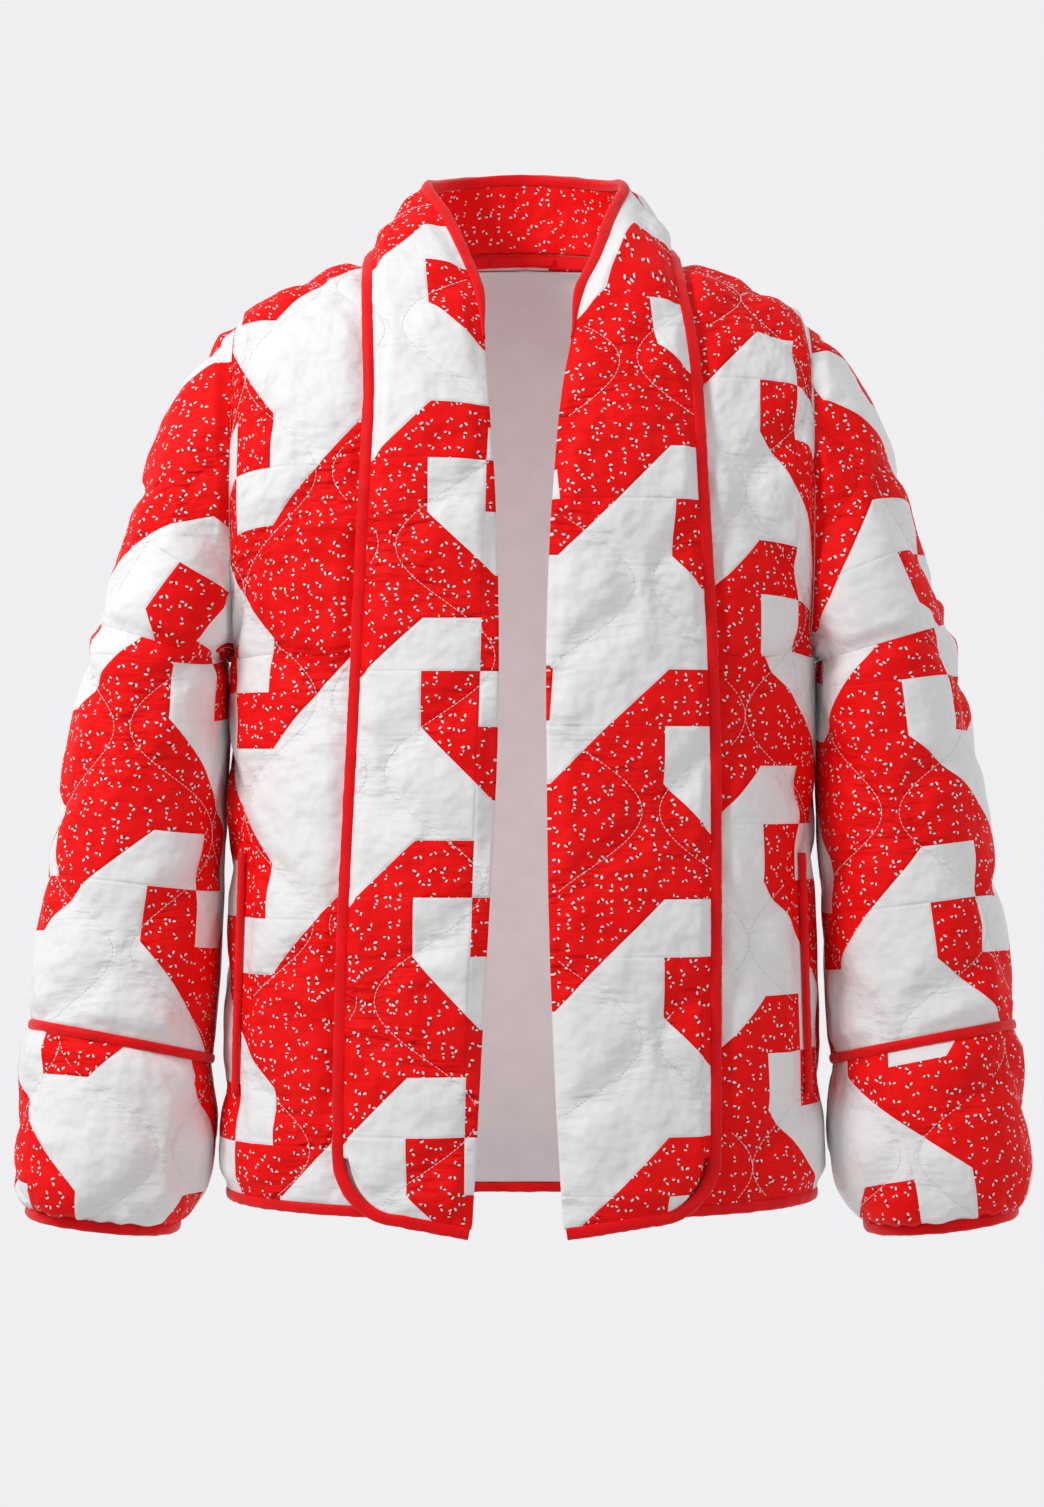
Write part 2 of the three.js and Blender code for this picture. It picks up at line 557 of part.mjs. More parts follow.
// A binding: a flattened round section swept along points, thick along each point's normal
function binding(path, { wide = BINDING_WIDE, thick = BINDING_THICK, sides = 6, closed = false } = {}) {
  const count = path.length;
  const points = [];
  path.forEach(({ p, n, share = 1 }, i) => {
    const next = path[closed ? (i + 1) % count : Math.min(count - 1, i + 1)].p;
    const last = path[closed ? (i + count - 1) % count : Math.max(0, i - 1)].p;
    const tangent = next.clone().sub(last).normalize();
    const width = tangent.clone().cross(n).normalize();
    const up = width.clone().cross(tangent).normalize();
    for (let k = 0; k < sides; k++) {
      const turn = ((k + 0.5) / sides) * 2 * Math.PI;
      const spread = 1 / Math.cos(Math.PI / sides);
      points.push(
        p
          .clone()
          .addScaledVector(width, Math.cos(turn) * share * (wide / 2))
          .addScaledVector(up, Math.max(-1, Math.min(1, Math.sin(turn) * spread)) * (thick / 2)),
      );
    }
  });
  const at = (i, k) => (i % count) * sides + (k % sides);
  const faces = [];
  const spans = closed ? count : count - 1;
  for (let i = 0; i < spans; i++) {
    for (let k = 0; k < sides; k++) {
      faces.push([at(i, k), at(i + 1, k), at(i + 1, k + 1)], [at(i, k), at(i + 1, k + 1), at(i, k + 1)]);
    }
  }
  if (!closed) {
    for (let k = 1; k < sides - 1; k++) {
      faces.push([at(0, 0), at(0, k), at(0, k + 1)]);
      faces.push([at(count - 1, 0), at(count - 1, k + 1), at(count - 1, k)]);
    }
  }
  return solidFrom(points, faces);
}
const range = (count, make) => Array.from({ length: count + 1 }, (_, i) => make(i / count));

// Materials
const finish = (color, roughness) => new THREE.MeshStandardMaterial({ color, roughness, metalness: 0 });
const PATCHWORK = finish(0xd8101c, 0.75);
const LINING = finish(0xe6e2e2, 0.45);
const BIAS = finish(0xd4050f, 0.6);

const jacket = new THREE.Group();
function add(name, geometry, material) {
  const mesh = new THREE.Mesh(geometry, material);
  mesh.name = name;
  jacket.add(mesh);
}

// Padding on a body panel lies flat under the band, its binding and the pocket's binding
const flatNear = (distance, clear) => smooth((distance - clear) / EDGE_FADE);
function addFronts() {
  for (const side of [-1, 1]) {
    const name = side < 0 ? "front_right" : "front_left";
    const reliefAt = ({ p, s, t, fade }) => {
      const open = flatNear(Math.abs(p.x) - seamX(side, p.z), BINDING_WIDE / 2 + 1);
      const besidePocket = Math.abs(halfWidthAt(p.z) - POCKET.inset - Math.abs(p.x));
      const inPocket = smooth((p.z - POCKET.low + 40) / 30) * smooth((POCKET.top + 40 - p.z) / 30);
      const pocket = lerp(1, flatNear(besidePocket, 3), inPocket);
      return PUFF * fade * open * pocket * quiltHeight(s, t, QUILT_AT[name]);
    };
    add(
      name,
      clothWall({
        surface: frontPanel(side),
        cols: 12,
        rows: 32,
        thickness: WALL,
        sign: side > 0 ? 1 : -1,
        cloth: ({ p, across, up, i }) => ({
          s: side * (seamX(side, Math.min(p.z, BAND_TABLE_TOP)) - UNDERLAP + across[i]),
          t: HEM.front + up,
        }),
        relief: reliefAt,
        inward: (u, v, p) => {
          if (u === 1) return sideInward(side, FRONT, v);
          return v === 1 ? shoulderInward(p.x) : null;
        },
      }),
      PATCHWORK,
    );
  }
}
function backInward(u, v, p) {
  if (u === 0 || u === 1) return sideInward(Math.sign(p.x), BACK, v);
  if (v === 1 && Math.abs(p.x) >= NECK_X) return shoulderInward(p.x);
  return bodyNormal(BACK, p.x, p.z).negate();
}
function addBack() {
  const cols = 2 * (BACK_COLUMNS.neck + BACK_COLUMNS.shoulder);
  const rows = 32;
  add(
    "back",
    clothWall({
      surface: backPanel,
      cols,
      rows,
      thickness: WALL,
      sign: -1,
      cloth: ({ across, up, i }) => ({ s: across[i] - across[cols / 2], t: HEM.back + up }),
      relief: ({ s, t, fade }) => PUFF * fade * quiltHeight(s, t, QUILT_AT.back),
      inward: backInward,
    }),
    PATCHWORK,
  );
  // The lining's points are the panel's inner points, moved in
  const inside = (u, v) => {
    const p = backPanel(u, v);
    return p.addScaledVector(backInward(u, v, p), WALL + LINING_GAP);
  };
  const lining = { surface: inside, cols: cols / 2, rows: rows / 2, skip: 1, inward: backInward };
  add("lining_back", clothWall({ ...lining, thickness: LINING_WALL, sign: -1 }), LINING);
}
function addBands() {
  for (const side of [-1, 1]) {
    const name = side < 0 ? "band_right" : "band_left";
    add(
      name,
      clothWall({
        surface: bandPanel(side),
        cols: 8,
        rows: 38,
        thickness: BAND_WALL,
        sign: side < 0 ? 1 : -1,
        cloth: ({ across, up, i }) => ({
          s: side < 0 ? across[i] : across[across.length - 1] - across[i],
          t: BAND_LOW + up,
        }),
        relief: ({ s, t, fade }) => PUFF * fade * quiltHeight(s, t, QUILT_AT[name]),
      }),
      PATCHWORK,
    );
  }
  add(
    "collar_back",
    clothWall({
      surface: collarPanel,
      cols: 16,
      rows: 6,
      skip: 1,
      thickness: BAND_WALL,
      sign: -1,
      cloth: ({ across, up, i }) => ({ s: across[i], t: up }),
      relief: ({ s, t, fade }) => PUFF * fade * quiltHeight(s, t, QUILT_AT.collar_back),
    }),
    PATCHWORK,
  );
}
function addSleeves() {
  const cols = 24;
  for (const side of [-1, 1]) {
    const tail = side < 0 ? "_right" : "_left";
    const sign = side < 0 ? 1 : -1;
    const cloth = ({ across, up, i }) => ({ s: across[i] - across[cols / 4], t: up });
    const underarm = (u) => lerp(0.35, 1, smooth((0.5 - Math.abs(u - 0.5)) / 0.18));
    const padded = (at) => ({ s, t, u, fade }) => PUFF * fade * underarm(u) * quiltHeight(side * s, t, at);
    const ringInward = (surface) => (u, v) => {
      if (v > 0 && v < 1) return null;
      const centre = surface(0, v).add(surface(0.5, v)).multiplyScalar(0.5);
      const p = surface(u, v);
      const ahead = surface(u + 1e-3, v).sub(surface(u - 1e-3, v)).normalize();
      const plane = surface(0.5, v).sub(surface(0, v)).cross(surface(0.75, v).sub(surface(0.25, v)));
      const inward = ahead.cross(plane).normalize();
      return inward.dot(centre.sub(p)) < 0 ? inward.negate() : inward;
    };
    const upper = upperSleeve(side);
    const lower = lowerSleeve(side);
    const cuff = cuffSleeve(side);
    const shared = { cols, thickness: WALL, sign, wrap: true, cloth };
    add(
      "sleeve_upper" + tail,
      clothWall({
        ...shared,
        surface: upper,
        rows: 10,
        relief: padded(QUILT_AT.sleeve_upper),
        inward: ringInward(upper),
      }),
      PATCHWORK,
    );
    add(
      "sleeve_lower" + tail,
      clothWall({
        ...shared,
        surface: lower,
        rows: 14,
        relief: padded(QUILT_AT.sleeve_lower),
        inward: ringInward(lower),
      }),
      PATCHWORK,
    );
    const gathered = ({ s, t, u, v, fade }) => {
      const tuck = smooth((v - CUFF_TUCK_START) / (1 - CUFF_TUCK_START));
      const wave = (1 - Math.cos(u * 2 * Math.PI * CUFF_TUCKS)) / 2;
      const padding = PUFF * fade * underarm(u) * quiltHeight(side * s, t, QUILT_AT.cuff);
      return padding + CUFF_TUCK_DEPTH * tuck * wave;
    };
    add(
      "cuff" + tail,
      clothWall({
        ...shared,
        cols: 2 * CUFF_TUCKS * 2,
        cloth: ({ across, up, i }) => ({ s: across[i] - across[CUFF_TUCKS], t: up }),
        surface: cuff,
        rows: 8,
        relief: gathered,
        inward: ringInward(cuff),
      }),
      PATCHWORK,
    );
  }
}

// A place in the middle of the band's thickness, and the way out of the band there
const bandNormal = (k, w) => {
  const step = 0.02;
  const along = bandPoint(k, w + step).sub(bandPoint(k, w - step));
  const from = clamp01(k - step);
  const over = bandPoint(Math.max(step, clamp01(k + step)), w).sub(bandPoint(from, w));
  return over.cross(along).normalize();
};
const onBand = (k, w) => {
  const inside = Math.min(LAST_STATION - 0.05, Math.max(0.05, w));
  const n = bandNormal(k, inside);
  return { p: bandPoint(k, w).addScaledVector(n, -BAND_WALL / 2), n };
};

// Bindings
function ringBinding(side, ring, wide, thick, count = 22) {
  const at = (share) => ringPoint(side, ring, share * 2 * Math.PI);
  const centre = at(0).add(at(0.5)).multiplyScalar(0.5);
  const plane = at(0.5).sub(at(0)).cross(at(0.75).sub(at(0.25)));
  const path = range(count - 1, (t) => t * ((count - 1) / count)).map((t) => {
    const p = at(t);
    const ahead = at(t + 1e-3).sub(p).normalize();
    const n = ahead.cross(plane).normalize();
    if (n.dot(p.clone().sub(centre)) < 0) n.negate();
    return { p: p.addScaledVector(n, -WALL / 2), n };
  });
  return binding(path, { wide, thick, closed: true });
}
function addBindings() {
  for (const side of [-1, 1]) {
    const tail = side < 0 ? "_right" : "_left";
    const along = (w) => (side < 0 ? w : LAST_STATION - w);
    const bottom = range(12, (t) => {
      const k = t < 0.5 ? lerp(1, CORNER_AT, t * 2) : CORNER_AT * (1 - Math.sin((t - 0.5) * Math.PI));
      return onBand(k, bandLowStation(side, k, 0));
    });
    const from = lengthAt(bandLowStation(side, 0, 0));
    const to = lengthAt(along(SHOULDER_STATION)) + side * SEAM_GAP;
    const rise = range(22, (t) => onBand(0, stationAt(lerp(from, to, t)))).slice(1);
    add("binding_band" + tail, binding([...bottom, ...rise]), BIAS);

    const hemPath = range(9, (t) => {
      const first = seamX(side, HEM.front) - UNDERLAP + 1;
      const x = lerp(first, BODY[0].halfWidth - SIDE_INSET, Math.sin((t * Math.PI) / 2));
      return onBody(FRONT, side * x, hemZ(FRONT, x) + HEM_BINDING.wide / 2, HEM_BINDING.offset);
    });
    add("binding_hem_front" + tail, binding(hemPath, HEM_BINDING), BIAS);

    const pocketPath = range(8, (t) => {
      const z = lerp(POCKET.low, POCKET.top, t);
      return onBody(FRONT, side * (halfWidthAt(z) - POCKET.inset), z, POCKET_BINDING.offset);
    });
    add("binding_pocket" + tail, binding(pocketPath, POCKET_BINDING), BIAS);

    const cuffTop = shiftRing(SLEEVE_END, CUFF_BINDING_WIDE / 2 + SEAM_GAP);
    add("binding_cuff" + tail, ringBinding(side, cuffTop, CUFF_BINDING_WIDE, BINDING_THICK), BIAS);
    const wrist = shiftRing(CUFF[CUFF.length - 1], BINDING_WIDE / 2 + SEAM_GAP);
    add("binding_wrist" + tail, ringBinding(side, wrist, BINDING_WIDE, BINDING_THICK), BIAS);
  }
  const backHem = range(20, (t) => {
    const x = backColumnX(t, BODY[0].halfWidth - SIDE_INSET);
    return onBody(BACK, x, hemZ(BACK, x) + HEM_BINDING.wide / 2, HEM_BINDING.offset);
  });
  add("binding_hem_back", binding(backHem, HEM_BINDING), BIAS);

  const neckFrom = lengthAt(SHOULDER_STATION) + SEAM_GAP;
  const neckTo = lengthAt(LAST_STATION - SHOULDER_STATION) - SEAM_GAP;
  const neckPath = range(16, (t) => onBand(0, stationAt(lerp(neckFrom, neckTo, t))));
  add("binding_neck", binding(neckPath, NECK_BINDING), BIAS);

  // Round the collar's free edge, narrowing to its ends where the bands' edge becomes a fold
  const edgeFrom = lengthAt(BAND.length);
  const edgeTo = lengthAt(LAST_STATION - BAND.length);
  const edgePath = range(32, (t) => {
    const w = stationAt(lerp(edgeFrom, edgeTo, t));
    const share = lerp(EDGE_BINDING.endShare, 1, smooth(Math.min(t, 1 - t) / EDGE_BINDING.taper));
    const { p, n } = onBand(1, w);
    const over = bandPoint(1, w).sub(bandPoint(0.96, w)).normalize();
    return { p: p.addScaledVector(over, (share * EDGE_BINDING.wide) / 2 + SEAM_GAP), n, share };
  });
  add("binding_collar", binding(edgePath, EDGE_BINDING), BIAS);
}

// The tape over the neck seam lies on the collar's inner face, and the hanger loop on the tape
function addNeckTrim() {
  const insideCollar = (from, to, depth) => (t) => {
    const { p, n } = onBand(TAPE.share, lerp(from, to, t));
    return { p: p.addScaledVector(n, -(BAND_WALL / 2 + depth)), n };
  };
  const first = SHOULDER_STATION + TAPE.inset;
  const last = LAST_STATION - first;
  const tape = insideCollar(first, last, TAPE.gap + TAPE.thick / 2);
  add("neck_tape", binding(range(16, tape), { wide: TAPE.wide, thick: TAPE.thick, sides: 4 }), BIAS);
  const middle = LAST_STATION / 2;
  const loopDepth = TAPE.gap + TAPE.thick + SEAM_GAP + LOOP.thick / 2;
  const loop = insideCollar(middle - LOOP.reach, middle + LOOP.reach, loopDepth);
  add("hanger_loop", binding(range(6, loop), { wide: LOOP.wide, thick: LOOP.thick, sides: 4 }), BIAS);
}

addFronts();
addBack();
addBands();
addSleeves();
addBindings();
addNeckTrim();
export default jacket;
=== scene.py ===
# The looks of a quilted kimono jacket: padded patchwork cloth, bias bindings and stitching.
# Lengths are in millimetres here and become metres where a mesh is made. Right and left are the
# wearer's, so the right side lies at -X, and the front faces -Y.
import math

import bpy
import numpy as np
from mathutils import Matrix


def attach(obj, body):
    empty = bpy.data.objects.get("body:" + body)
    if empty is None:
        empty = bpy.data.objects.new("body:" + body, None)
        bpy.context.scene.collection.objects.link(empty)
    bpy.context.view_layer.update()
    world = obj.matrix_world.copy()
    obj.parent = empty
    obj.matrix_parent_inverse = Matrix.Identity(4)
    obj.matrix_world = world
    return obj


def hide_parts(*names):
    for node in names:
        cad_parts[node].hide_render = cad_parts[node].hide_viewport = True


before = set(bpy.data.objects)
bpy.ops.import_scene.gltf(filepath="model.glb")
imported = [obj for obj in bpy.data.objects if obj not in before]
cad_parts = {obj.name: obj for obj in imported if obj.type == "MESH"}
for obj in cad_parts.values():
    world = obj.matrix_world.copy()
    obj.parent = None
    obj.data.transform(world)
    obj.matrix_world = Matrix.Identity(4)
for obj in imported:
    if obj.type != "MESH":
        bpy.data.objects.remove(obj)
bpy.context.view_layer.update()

# Cloth and trim
WALL = 3.0
BAND_WALL = 4.5
LINING_WALL = 1.2
LINING_GAP = 1.0
PUFF = 5.5
SEAM_GAP = 0.3
LAY_GAP = 1.6
BINDING_WIDE = 8.0
BINDING_PLUMP = 0.9
BINDING_THICK = 6.4
CUFF_BINDING_WIDE = 7.0

# Patchwork and quilting
UNIT = 38.1
QUILT_PITCH = 152.4
QUILT_NECK = 12.0
QUILT_VALLEY = 12.0
EDGE_FADE = 13.0
STITCH = {"length": 2.6, "gap": 0.45, "radius": 0.29, "sides": 4}
PUFF_WAVES = {"high": 0.5, "waves": (70, 18)}
RIPPLE = {"high": 0.55, "fade": 7, "ditch": 1.6, "waves": (9, 4.5, 18)}
TUBE_SEAM = 0.04  # the share of a tube on each side of its seam where the padding evens out

MM = 0.001
GRID = 3.3  # the fineness of the cloth's meshes
RIM = 0.8

# Body, from its measured widths, as in the solids
FRONT = -1
BACK = 1
BODY = {
    "z": [-664, -560, -420, -272],
    "half_width": [206, 205, 201, 199],
    "front": [122, 124, 125, 122],
    "back": [123, 119, 114, 112],
    "square": [2.6, 2.6, 2.5, 2.3],
}
SHOULDER_SQUARE = 2.05
ARM_X = 199
ARMPIT_Z = -272
ARM_TOP_Z = -42
SHOULDER_SLOPE = 1.5
ARM_SQUARE = 2.2
ARM_DEPTH = {FRONT: 76, BACK: 80}
NECK_X = 106
NECK_BACK_Y = 84
NECK_BACK_Z = 12
CHEST_ROUND = 2.3
CHEST_START = 0.3
SIDE_FLOW = 0.11
SIDE_FLOW_REACH = 0.25
HEM = {FRONT: -652, BACK: -661}
HEM_SIDE = -648
UNDERLAP = 30
UNDERLAP_FROM = -160
UNDERLAP_OVER = 120

BAND = {
    "z": [-664, -560, -450, -340, -250, -170, -101],
    "seam_right": [122, 121, 118, 112.5, 108.5, 104.8, 102],
    "free_right": [35.5, 30, 24, 18.5, 17.5, 19.5, 24],
    "seam_left": [128, 128, 128, 127.5, 124.8, 120.5, 117],
    "free_left": [30, 24, 20, 18.5, 18.5, 22, 28],
}
BAND_TOP_Z = -101
BAND_LOW = -660
BAND_CORNER_RISE = 9
BAND_CORNER = 42
BAND_BULGE = 6
NECK = {
    "seam_z": [-62, -26, -9, -2.5, 0],
    "rise": [0, 0, 1, 2, 2],
    "free_x": [27, 33, 43, 57, 71],
    "free_y": [-104, -87, -65, -35, 0],
    "free_z": [-60, -26, 1, 31, 54],
    "bulge": [6, 5, 4, 3, 2],
    "left_out": [8, 9.5, 12, 9, 5],
}
NAPE = {
    "seam_x": [92, 52, 0],
    "free_x": [64, 37, 0],
    "free_y": [44, 76, 87],
    "free_z": [61.5, 67.5, 70],
    "bulge": [2, 2, 2],
}
NECK_LIFT = 5

# Sleeves
PIVOT_X = 199.6
PIVOT_Z = -278
PIVOT_CLEAR = 6
UPPER = {
    "angle": [0, 3, 7.5, 13.8, 20.2, 28.5, 40.7, 57.1, 73.6],
    "reach": [236, 222, 203, 179, 156.5, 133.5, 111, 99.5, 98.6],
    "front": [76, 77, 79, 82, 84, 85, 85, 84, 83],
    "back": [80, 81, 82, 84, 85, 85, 85, 84, 82],
}
LOWER = {
    "out_x": [294.2, 305, 315.5, 324, 333, 341],
    "out_z": [-250.2, -302, -353, -408, -472, -525],
    "in_x": [205.4, 206, 207.5, 209.5, 212.5, 215.5],
    "in_z": [-276.3, -325, -375, -430, -494, -549],
    "front": [83, 80, 77, 74, 71, 68],
    "back": [82, 80, 77, 74, 71, 68],
    "y": [0, -1, -3, -5, -8, -11],
    "tilt": [0, 0, 1, 3, 5, 7],
}
CUFF = {
    "out_x": [345, 349, 348, 343],
    "out_z": [-583, -625, -646, -652],
    "in_x": [214, 219.5, 229, 239],
    "in_z": [-602, -638, -655, -664],
    "front": [74, 75, 69, 58],
    "back": [74, 75, 69, 58],
    "y": [-12, -13, -13, -13],
    "tilt": [5, 2, 0, 0],
}
SLEEVE_SQUARE = 2.2
POCKET_TOP = -408
POCKET_LOW = -572
POCKET_INSET = 11
POCKET_FADE = 30
POCKET_FLAT = 3
HEM_BINDING = {"wide": 8, "thick": 5.6, "offset": -2.4}
POCKET_BINDING = {"wide": 7, "thick": 4.4, "offset": 2.4}
NECK_BINDING = {"wide": 7, "thick": 4.6}
EDGE_BINDING = {"wide": 8, "thick": 6.4, "end_share": 0.3, "taper": 0.09}
TAPE = {"wide": 8, "thick": 1.4, "gap": 0.9, "share": -0.07, "inset": 1.9}
LOOP = {"wide": 5, "thick": 1.4, "reach": 0.45}


# Small helpers, all working on arrays
def clip01(t):
    return np.clip(t, 0, 1)


def smooth(t):
    t = clip01(t)
    return t * t * (3 - 2 * t)


def lerp(a, b, t):
    return a + (b - a) * t


def bow(r, power):
    return np.maximum(0, 1 - np.abs(r) ** power) ** (1 / power)


def unit(v):
    return v / np.maximum(np.linalg.norm(v, axis=-1, keepdims=True), 1e-9)


def rounded(value, square):
    """A sine or cosine as it runs round a rounded square instead of a circle."""
    return np.sign(value) * np.abs(value) ** (2 / square)


def path_length(points):
    """Distance along a line of points up to each of them."""
    return np.concatenate([[0], np.cumsum(np.linalg.norm(np.diff(points, axis=0), axis=1))])


def tail(side):
    return "_right" if side < 0 else "_left"


def vec(x, y, z):
    return np.stack(np.broadcast_arrays(*(np.asarray(c, float) for c in (x, y, z))), axis=-1)


def along(values, w):
    """A smooth curve through the rows of values, by row number w."""
    values = np.asarray(values, float)
    slopes = np.gradient(values, axis=0)
    w = np.asarray(w, float)
    i = np.clip(np.floor(w).astype(int), 0, len(values) - 2)
    t = w - i
    if values.ndim > 1:
        t = t[..., None]
    return (
        values[i] * (2 * t**3 - 3 * t**2 + 1)
        + slopes[i] * (t**3 - 2 * t**2 + t)
        + values[i + 1] * (3 * t**2 - 2 * t**3)
        + slopes[i + 1] * (t**3 - t**2)
    )


def look_up(table, name, z):
    keys = table["z"]
    return along(table[name], np.interp(z, keys, range(len(keys))))


def waves(s, t, seed, longest, shortest, count=14):
    """Seeded waves in all directions, between two wavelengths and about 1 high."""
    random = np.random.default_rng(seed)
    total = np.zeros(np.broadcast(s, t).shape)
    for _ in range(count):
        length = math.exp(random.uniform(math.log(shortest), math.log(longest)))
        turn, phase = random.uniform(0, 2 * math.pi, 2)
        across = np.cos(turn) * s + np.sin(turn) * t
        total = total + np.sin(across * 2 * math.pi / length + phase)
    return total / math.sqrt(count / 2) * 0.7


# Body surface
def neck_z(x):
    return NECK_BACK_Z * (1 - (x / NECK_X) ** 2)


def neck_y(x):
    return NECK_BACK_Y * bow(x / NECK_X, ARM_SQUARE)


def top_z(face, x):
    ax = np.abs(x)
    slope = ARM_TOP_Z * (np.maximum(0, ax - NECK_X) / (ARM_X - NECK_X)) ** SHOULDER_SLOPE
    return np.where(ax < NECK_X, neck_z(x) if face == BACK else 0.0, slope)


def body_depth(face, x, z):
    """How far in front of or behind the middle plane the cloth lies at x, z."""
    ax = np.abs(x)
    name = "front" if face == FRONT else "back"
    out = ax / look_up(BODY, "half_width", z)
    low = look_up(BODY, name, z) * bow(out, look_up(BODY, "square", z))
    g = clip01((z - ARMPIT_Z) / (top_z(face, x) - ARMPIT_Z))
    arm_depth = ARM_DEPTH[face] * bow(2 * g - 1, ARM_SQUARE)
    top_y = np.where(ax < NECK_X, neck_y(x), 0.0) if face == BACK else 0.0
    closing = bow(clip01((g - CHEST_START) / (1 - CHEST_START)), CHEST_ROUND)
    chest = lerp(top_y, BODY[name][-1], closing)
    square = lerp(BODY["square"][-1], SHOULDER_SQUARE, smooth(g))
    flow = 1 + SIDE_FLOW * smooth(g / SIDE_FLOW_REACH)
    edge = bow(1 / flow, square)
    across = (bow(ax / (ARM_X * flow), square) - edge) / (1 - edge)
    high = arm_depth + (chest - arm_depth) * across
    return np.where(z <= ARMPIT_Z, low, high)


def body_normal(face, x, z):
    step = 0.5
    dx = (body_depth(face, x + step, z) - body_depth(face, x - step, z)) / (2 * step)
    dz = (body_depth(face, x, z + step) - body_depth(face, x, z - step)) / (2 * step)
    return unit(vec(-dx, face + 0 * dx, -dz))


def on_body(face, x, z, out):
    """A point of the front's or back's outer face, moved out by a distance."""
    p = vec(x, face * (body_depth(face, x, z) + SEAM_GAP), z)
    return p + body_normal(face, x, z) * np.asarray(out)[..., None]


def half_width(z):
    return np.where(z > ARMPIT_Z, ARM_X, look_up(BODY, "half_width", z))


def hem_z(face, x):
    r = clip01(np.abs(x) / BODY["half_width"][0])
    return lerp(HEM[face], HEM_SIDE, r ** (2 if face == FRONT else 4))


ARMPIT_ROW = 0.6


def arm_share(v):
    turn = math.pi * ((v - ARMPIT_ROW) / (1 - ARMPIT_ROW) - 0.5)
    return (1 + rounded(np.sin(turn), ARM_SQUARE)) / 2


def row_z(face, x, v):
    above = lerp(ARMPIT_Z, top_z(face, x), arm_share(v))
    below = lerp(hem_z(face, x) + BINDING_WIDE + SEAM_GAP, ARMPIT_Z, v / ARMPIT_ROW)
    return np.where(v > ARMPIT_ROW, above, below)


def seam_x(side, z):
    """Where a band's outer seam lies at height z."""
    low = look_up(BAND, "seam" + tail(side), np.minimum(z, BAND_TOP_Z))
    return lerp(low, NECK_X, smooth((z - BAND_TOP_Z) / -BAND_TOP_Z))


def front_panel(side):
    def surface(u, v):
        height = np.where(
            v > ARMPIT_ROW,
            lerp(ARMPIT_Z, 0, arm_share(v)),
            lerp(HEM[FRONT], ARMPIT_Z, v / ARMPIT_ROW),
        )
        lap = lerp(UNDERLAP, 0, smooth((height - UNDERLAP_FROM) / UNDERLAP_OVER))
        x = lerp(seam_x(side, height) - lap, half_width(height), np.sin(u * math.pi / 2))
        z = row_z(FRONT, x, v)
        reach = np.where(v > ARMPIT_ROW, x, np.minimum(x, half_width(z)))
        return vec(side * reach, -body_depth(FRONT, reach, z) - SEAM_GAP, z)

    return surface


BACK_NECK = 6
BACK_SHOULDER = 8


def back_column_x(u, outer):
    steps = np.abs(2 * u - 1) * (BACK_NECK + BACK_SHOULDER)
    inner_x = NECK_X * np.sin(np.minimum(steps / BACK_NECK, 1) * math.pi / 2)
    share = clip01((steps - BACK_NECK) / BACK_SHOULDER)
    outer_x = lerp(NECK_X, outer, np.sin(share * math.pi / 2))
    return np.sign(2 * u - 1) * np.where(steps < BACK_NECK, inner_x, outer_x)


def back_panel(u, v):
    middle = np.where(v > ARMPIT_ROW, ARMPIT_Z, lerp(HEM[BACK], ARMPIT_Z, v / ARMPIT_ROW))
    x = back_column_x(u, half_width(middle))
    z = row_z(BACK, x, v)
    reach = np.sign(x) * np.minimum(np.abs(x), half_width(z))
    return vec(reach, body_depth(BACK, reach, z) + SEAM_GAP, z)


# Neck band: stations from the right hem round the neck to the left hem
def band_stations():
    lift = BAND_WALL + LAY_GAP

    def half(side):
        rows = []
        for z, sx, fx in zip(BAND["z"], BAND["seam" + tail(side)], BAND["free" + tail(side)]):
            front_y = -body_depth(FRONT, np.float64(fx), np.float64(z)) - lift
            foot = on_body(FRONT, side * sx, np.float64(z), lift)
            rows.append((foot, vec(side * fx, front_y, z), BAND_BULGE))
        for z, rise, fx, fy, fz, b, out in zip(*NECK.values()):
            x = seam_x(side, np.float64(z))
            foot = on_body(FRONT, side * x, np.float64(z), lift) if z < 0 else vec(side * x, 0, lift)
            shift = out if side > 0 else 0
            rows.append((foot + vec(0, 0, rise), vec(side * (fx + shift), fy, fz), b))
        return rows

    def nape(side):
        return [
            (vec(side * sx, neck_y(sx) + 1, neck_z(sx) + NECK_LIFT), vec(side * fx, fy, fz), b)
            for sx, fx, fy, fz, b in zip(*NAPE.values())
        ]

    rows = half(-1) + nape(-1) + nape(1)[:-1][::-1] + half(1)[::-1]
    return [np.array(column, float) for column in zip(*rows)]


SEAM_LINE, FREE_LINE, BULGES = band_stations()
SHOULDER_STATION = len(BAND["z"]) + len(NECK["rise"]) - 1
LAST_STATION = len(SEAM_LINE) - 1


def band_point(k, w):
    """Outer face of the band: k is 0 at the seam and 1 at the free edge."""
    k, w = np.broadcast_arrays(np.asarray(k, float), np.asarray(w, float))
    step = 0.05
    seam, free = along(SEAM_LINE, w), along(FREE_LINE, w)
    ahead, behind = np.minimum(LAST_STATION, w + step), np.maximum(0, w - step)
    run = sum(along(line, ahead) - along(line, behind) for line in (SEAM_LINE, FREE_LINE))
    out = unit(np.cross(free - seam, run))
    bulge = along(BULGES, w) * np.sin(math.pi * k)
    return seam + (free - seam) * k[..., None] + out * bulge[..., None]


def band_normal(k, w):
    step = 0.02
    run = band_point(k, w + step) - band_point(k, w - step)
    k = np.asarray(k, float)
    over = band_point(np.maximum(step, clip01(k + step)), w) - band_point(clip01(k - step), w)
    return unit(np.cross(over, run))


BAND_W = np.linspace(0, LAST_STATION, 401)
BAND_LENGTH = path_length(band_point(0.5, BAND_W))


def length_at(w):
    return np.interp(w, BAND_W, BAND_LENGTH)


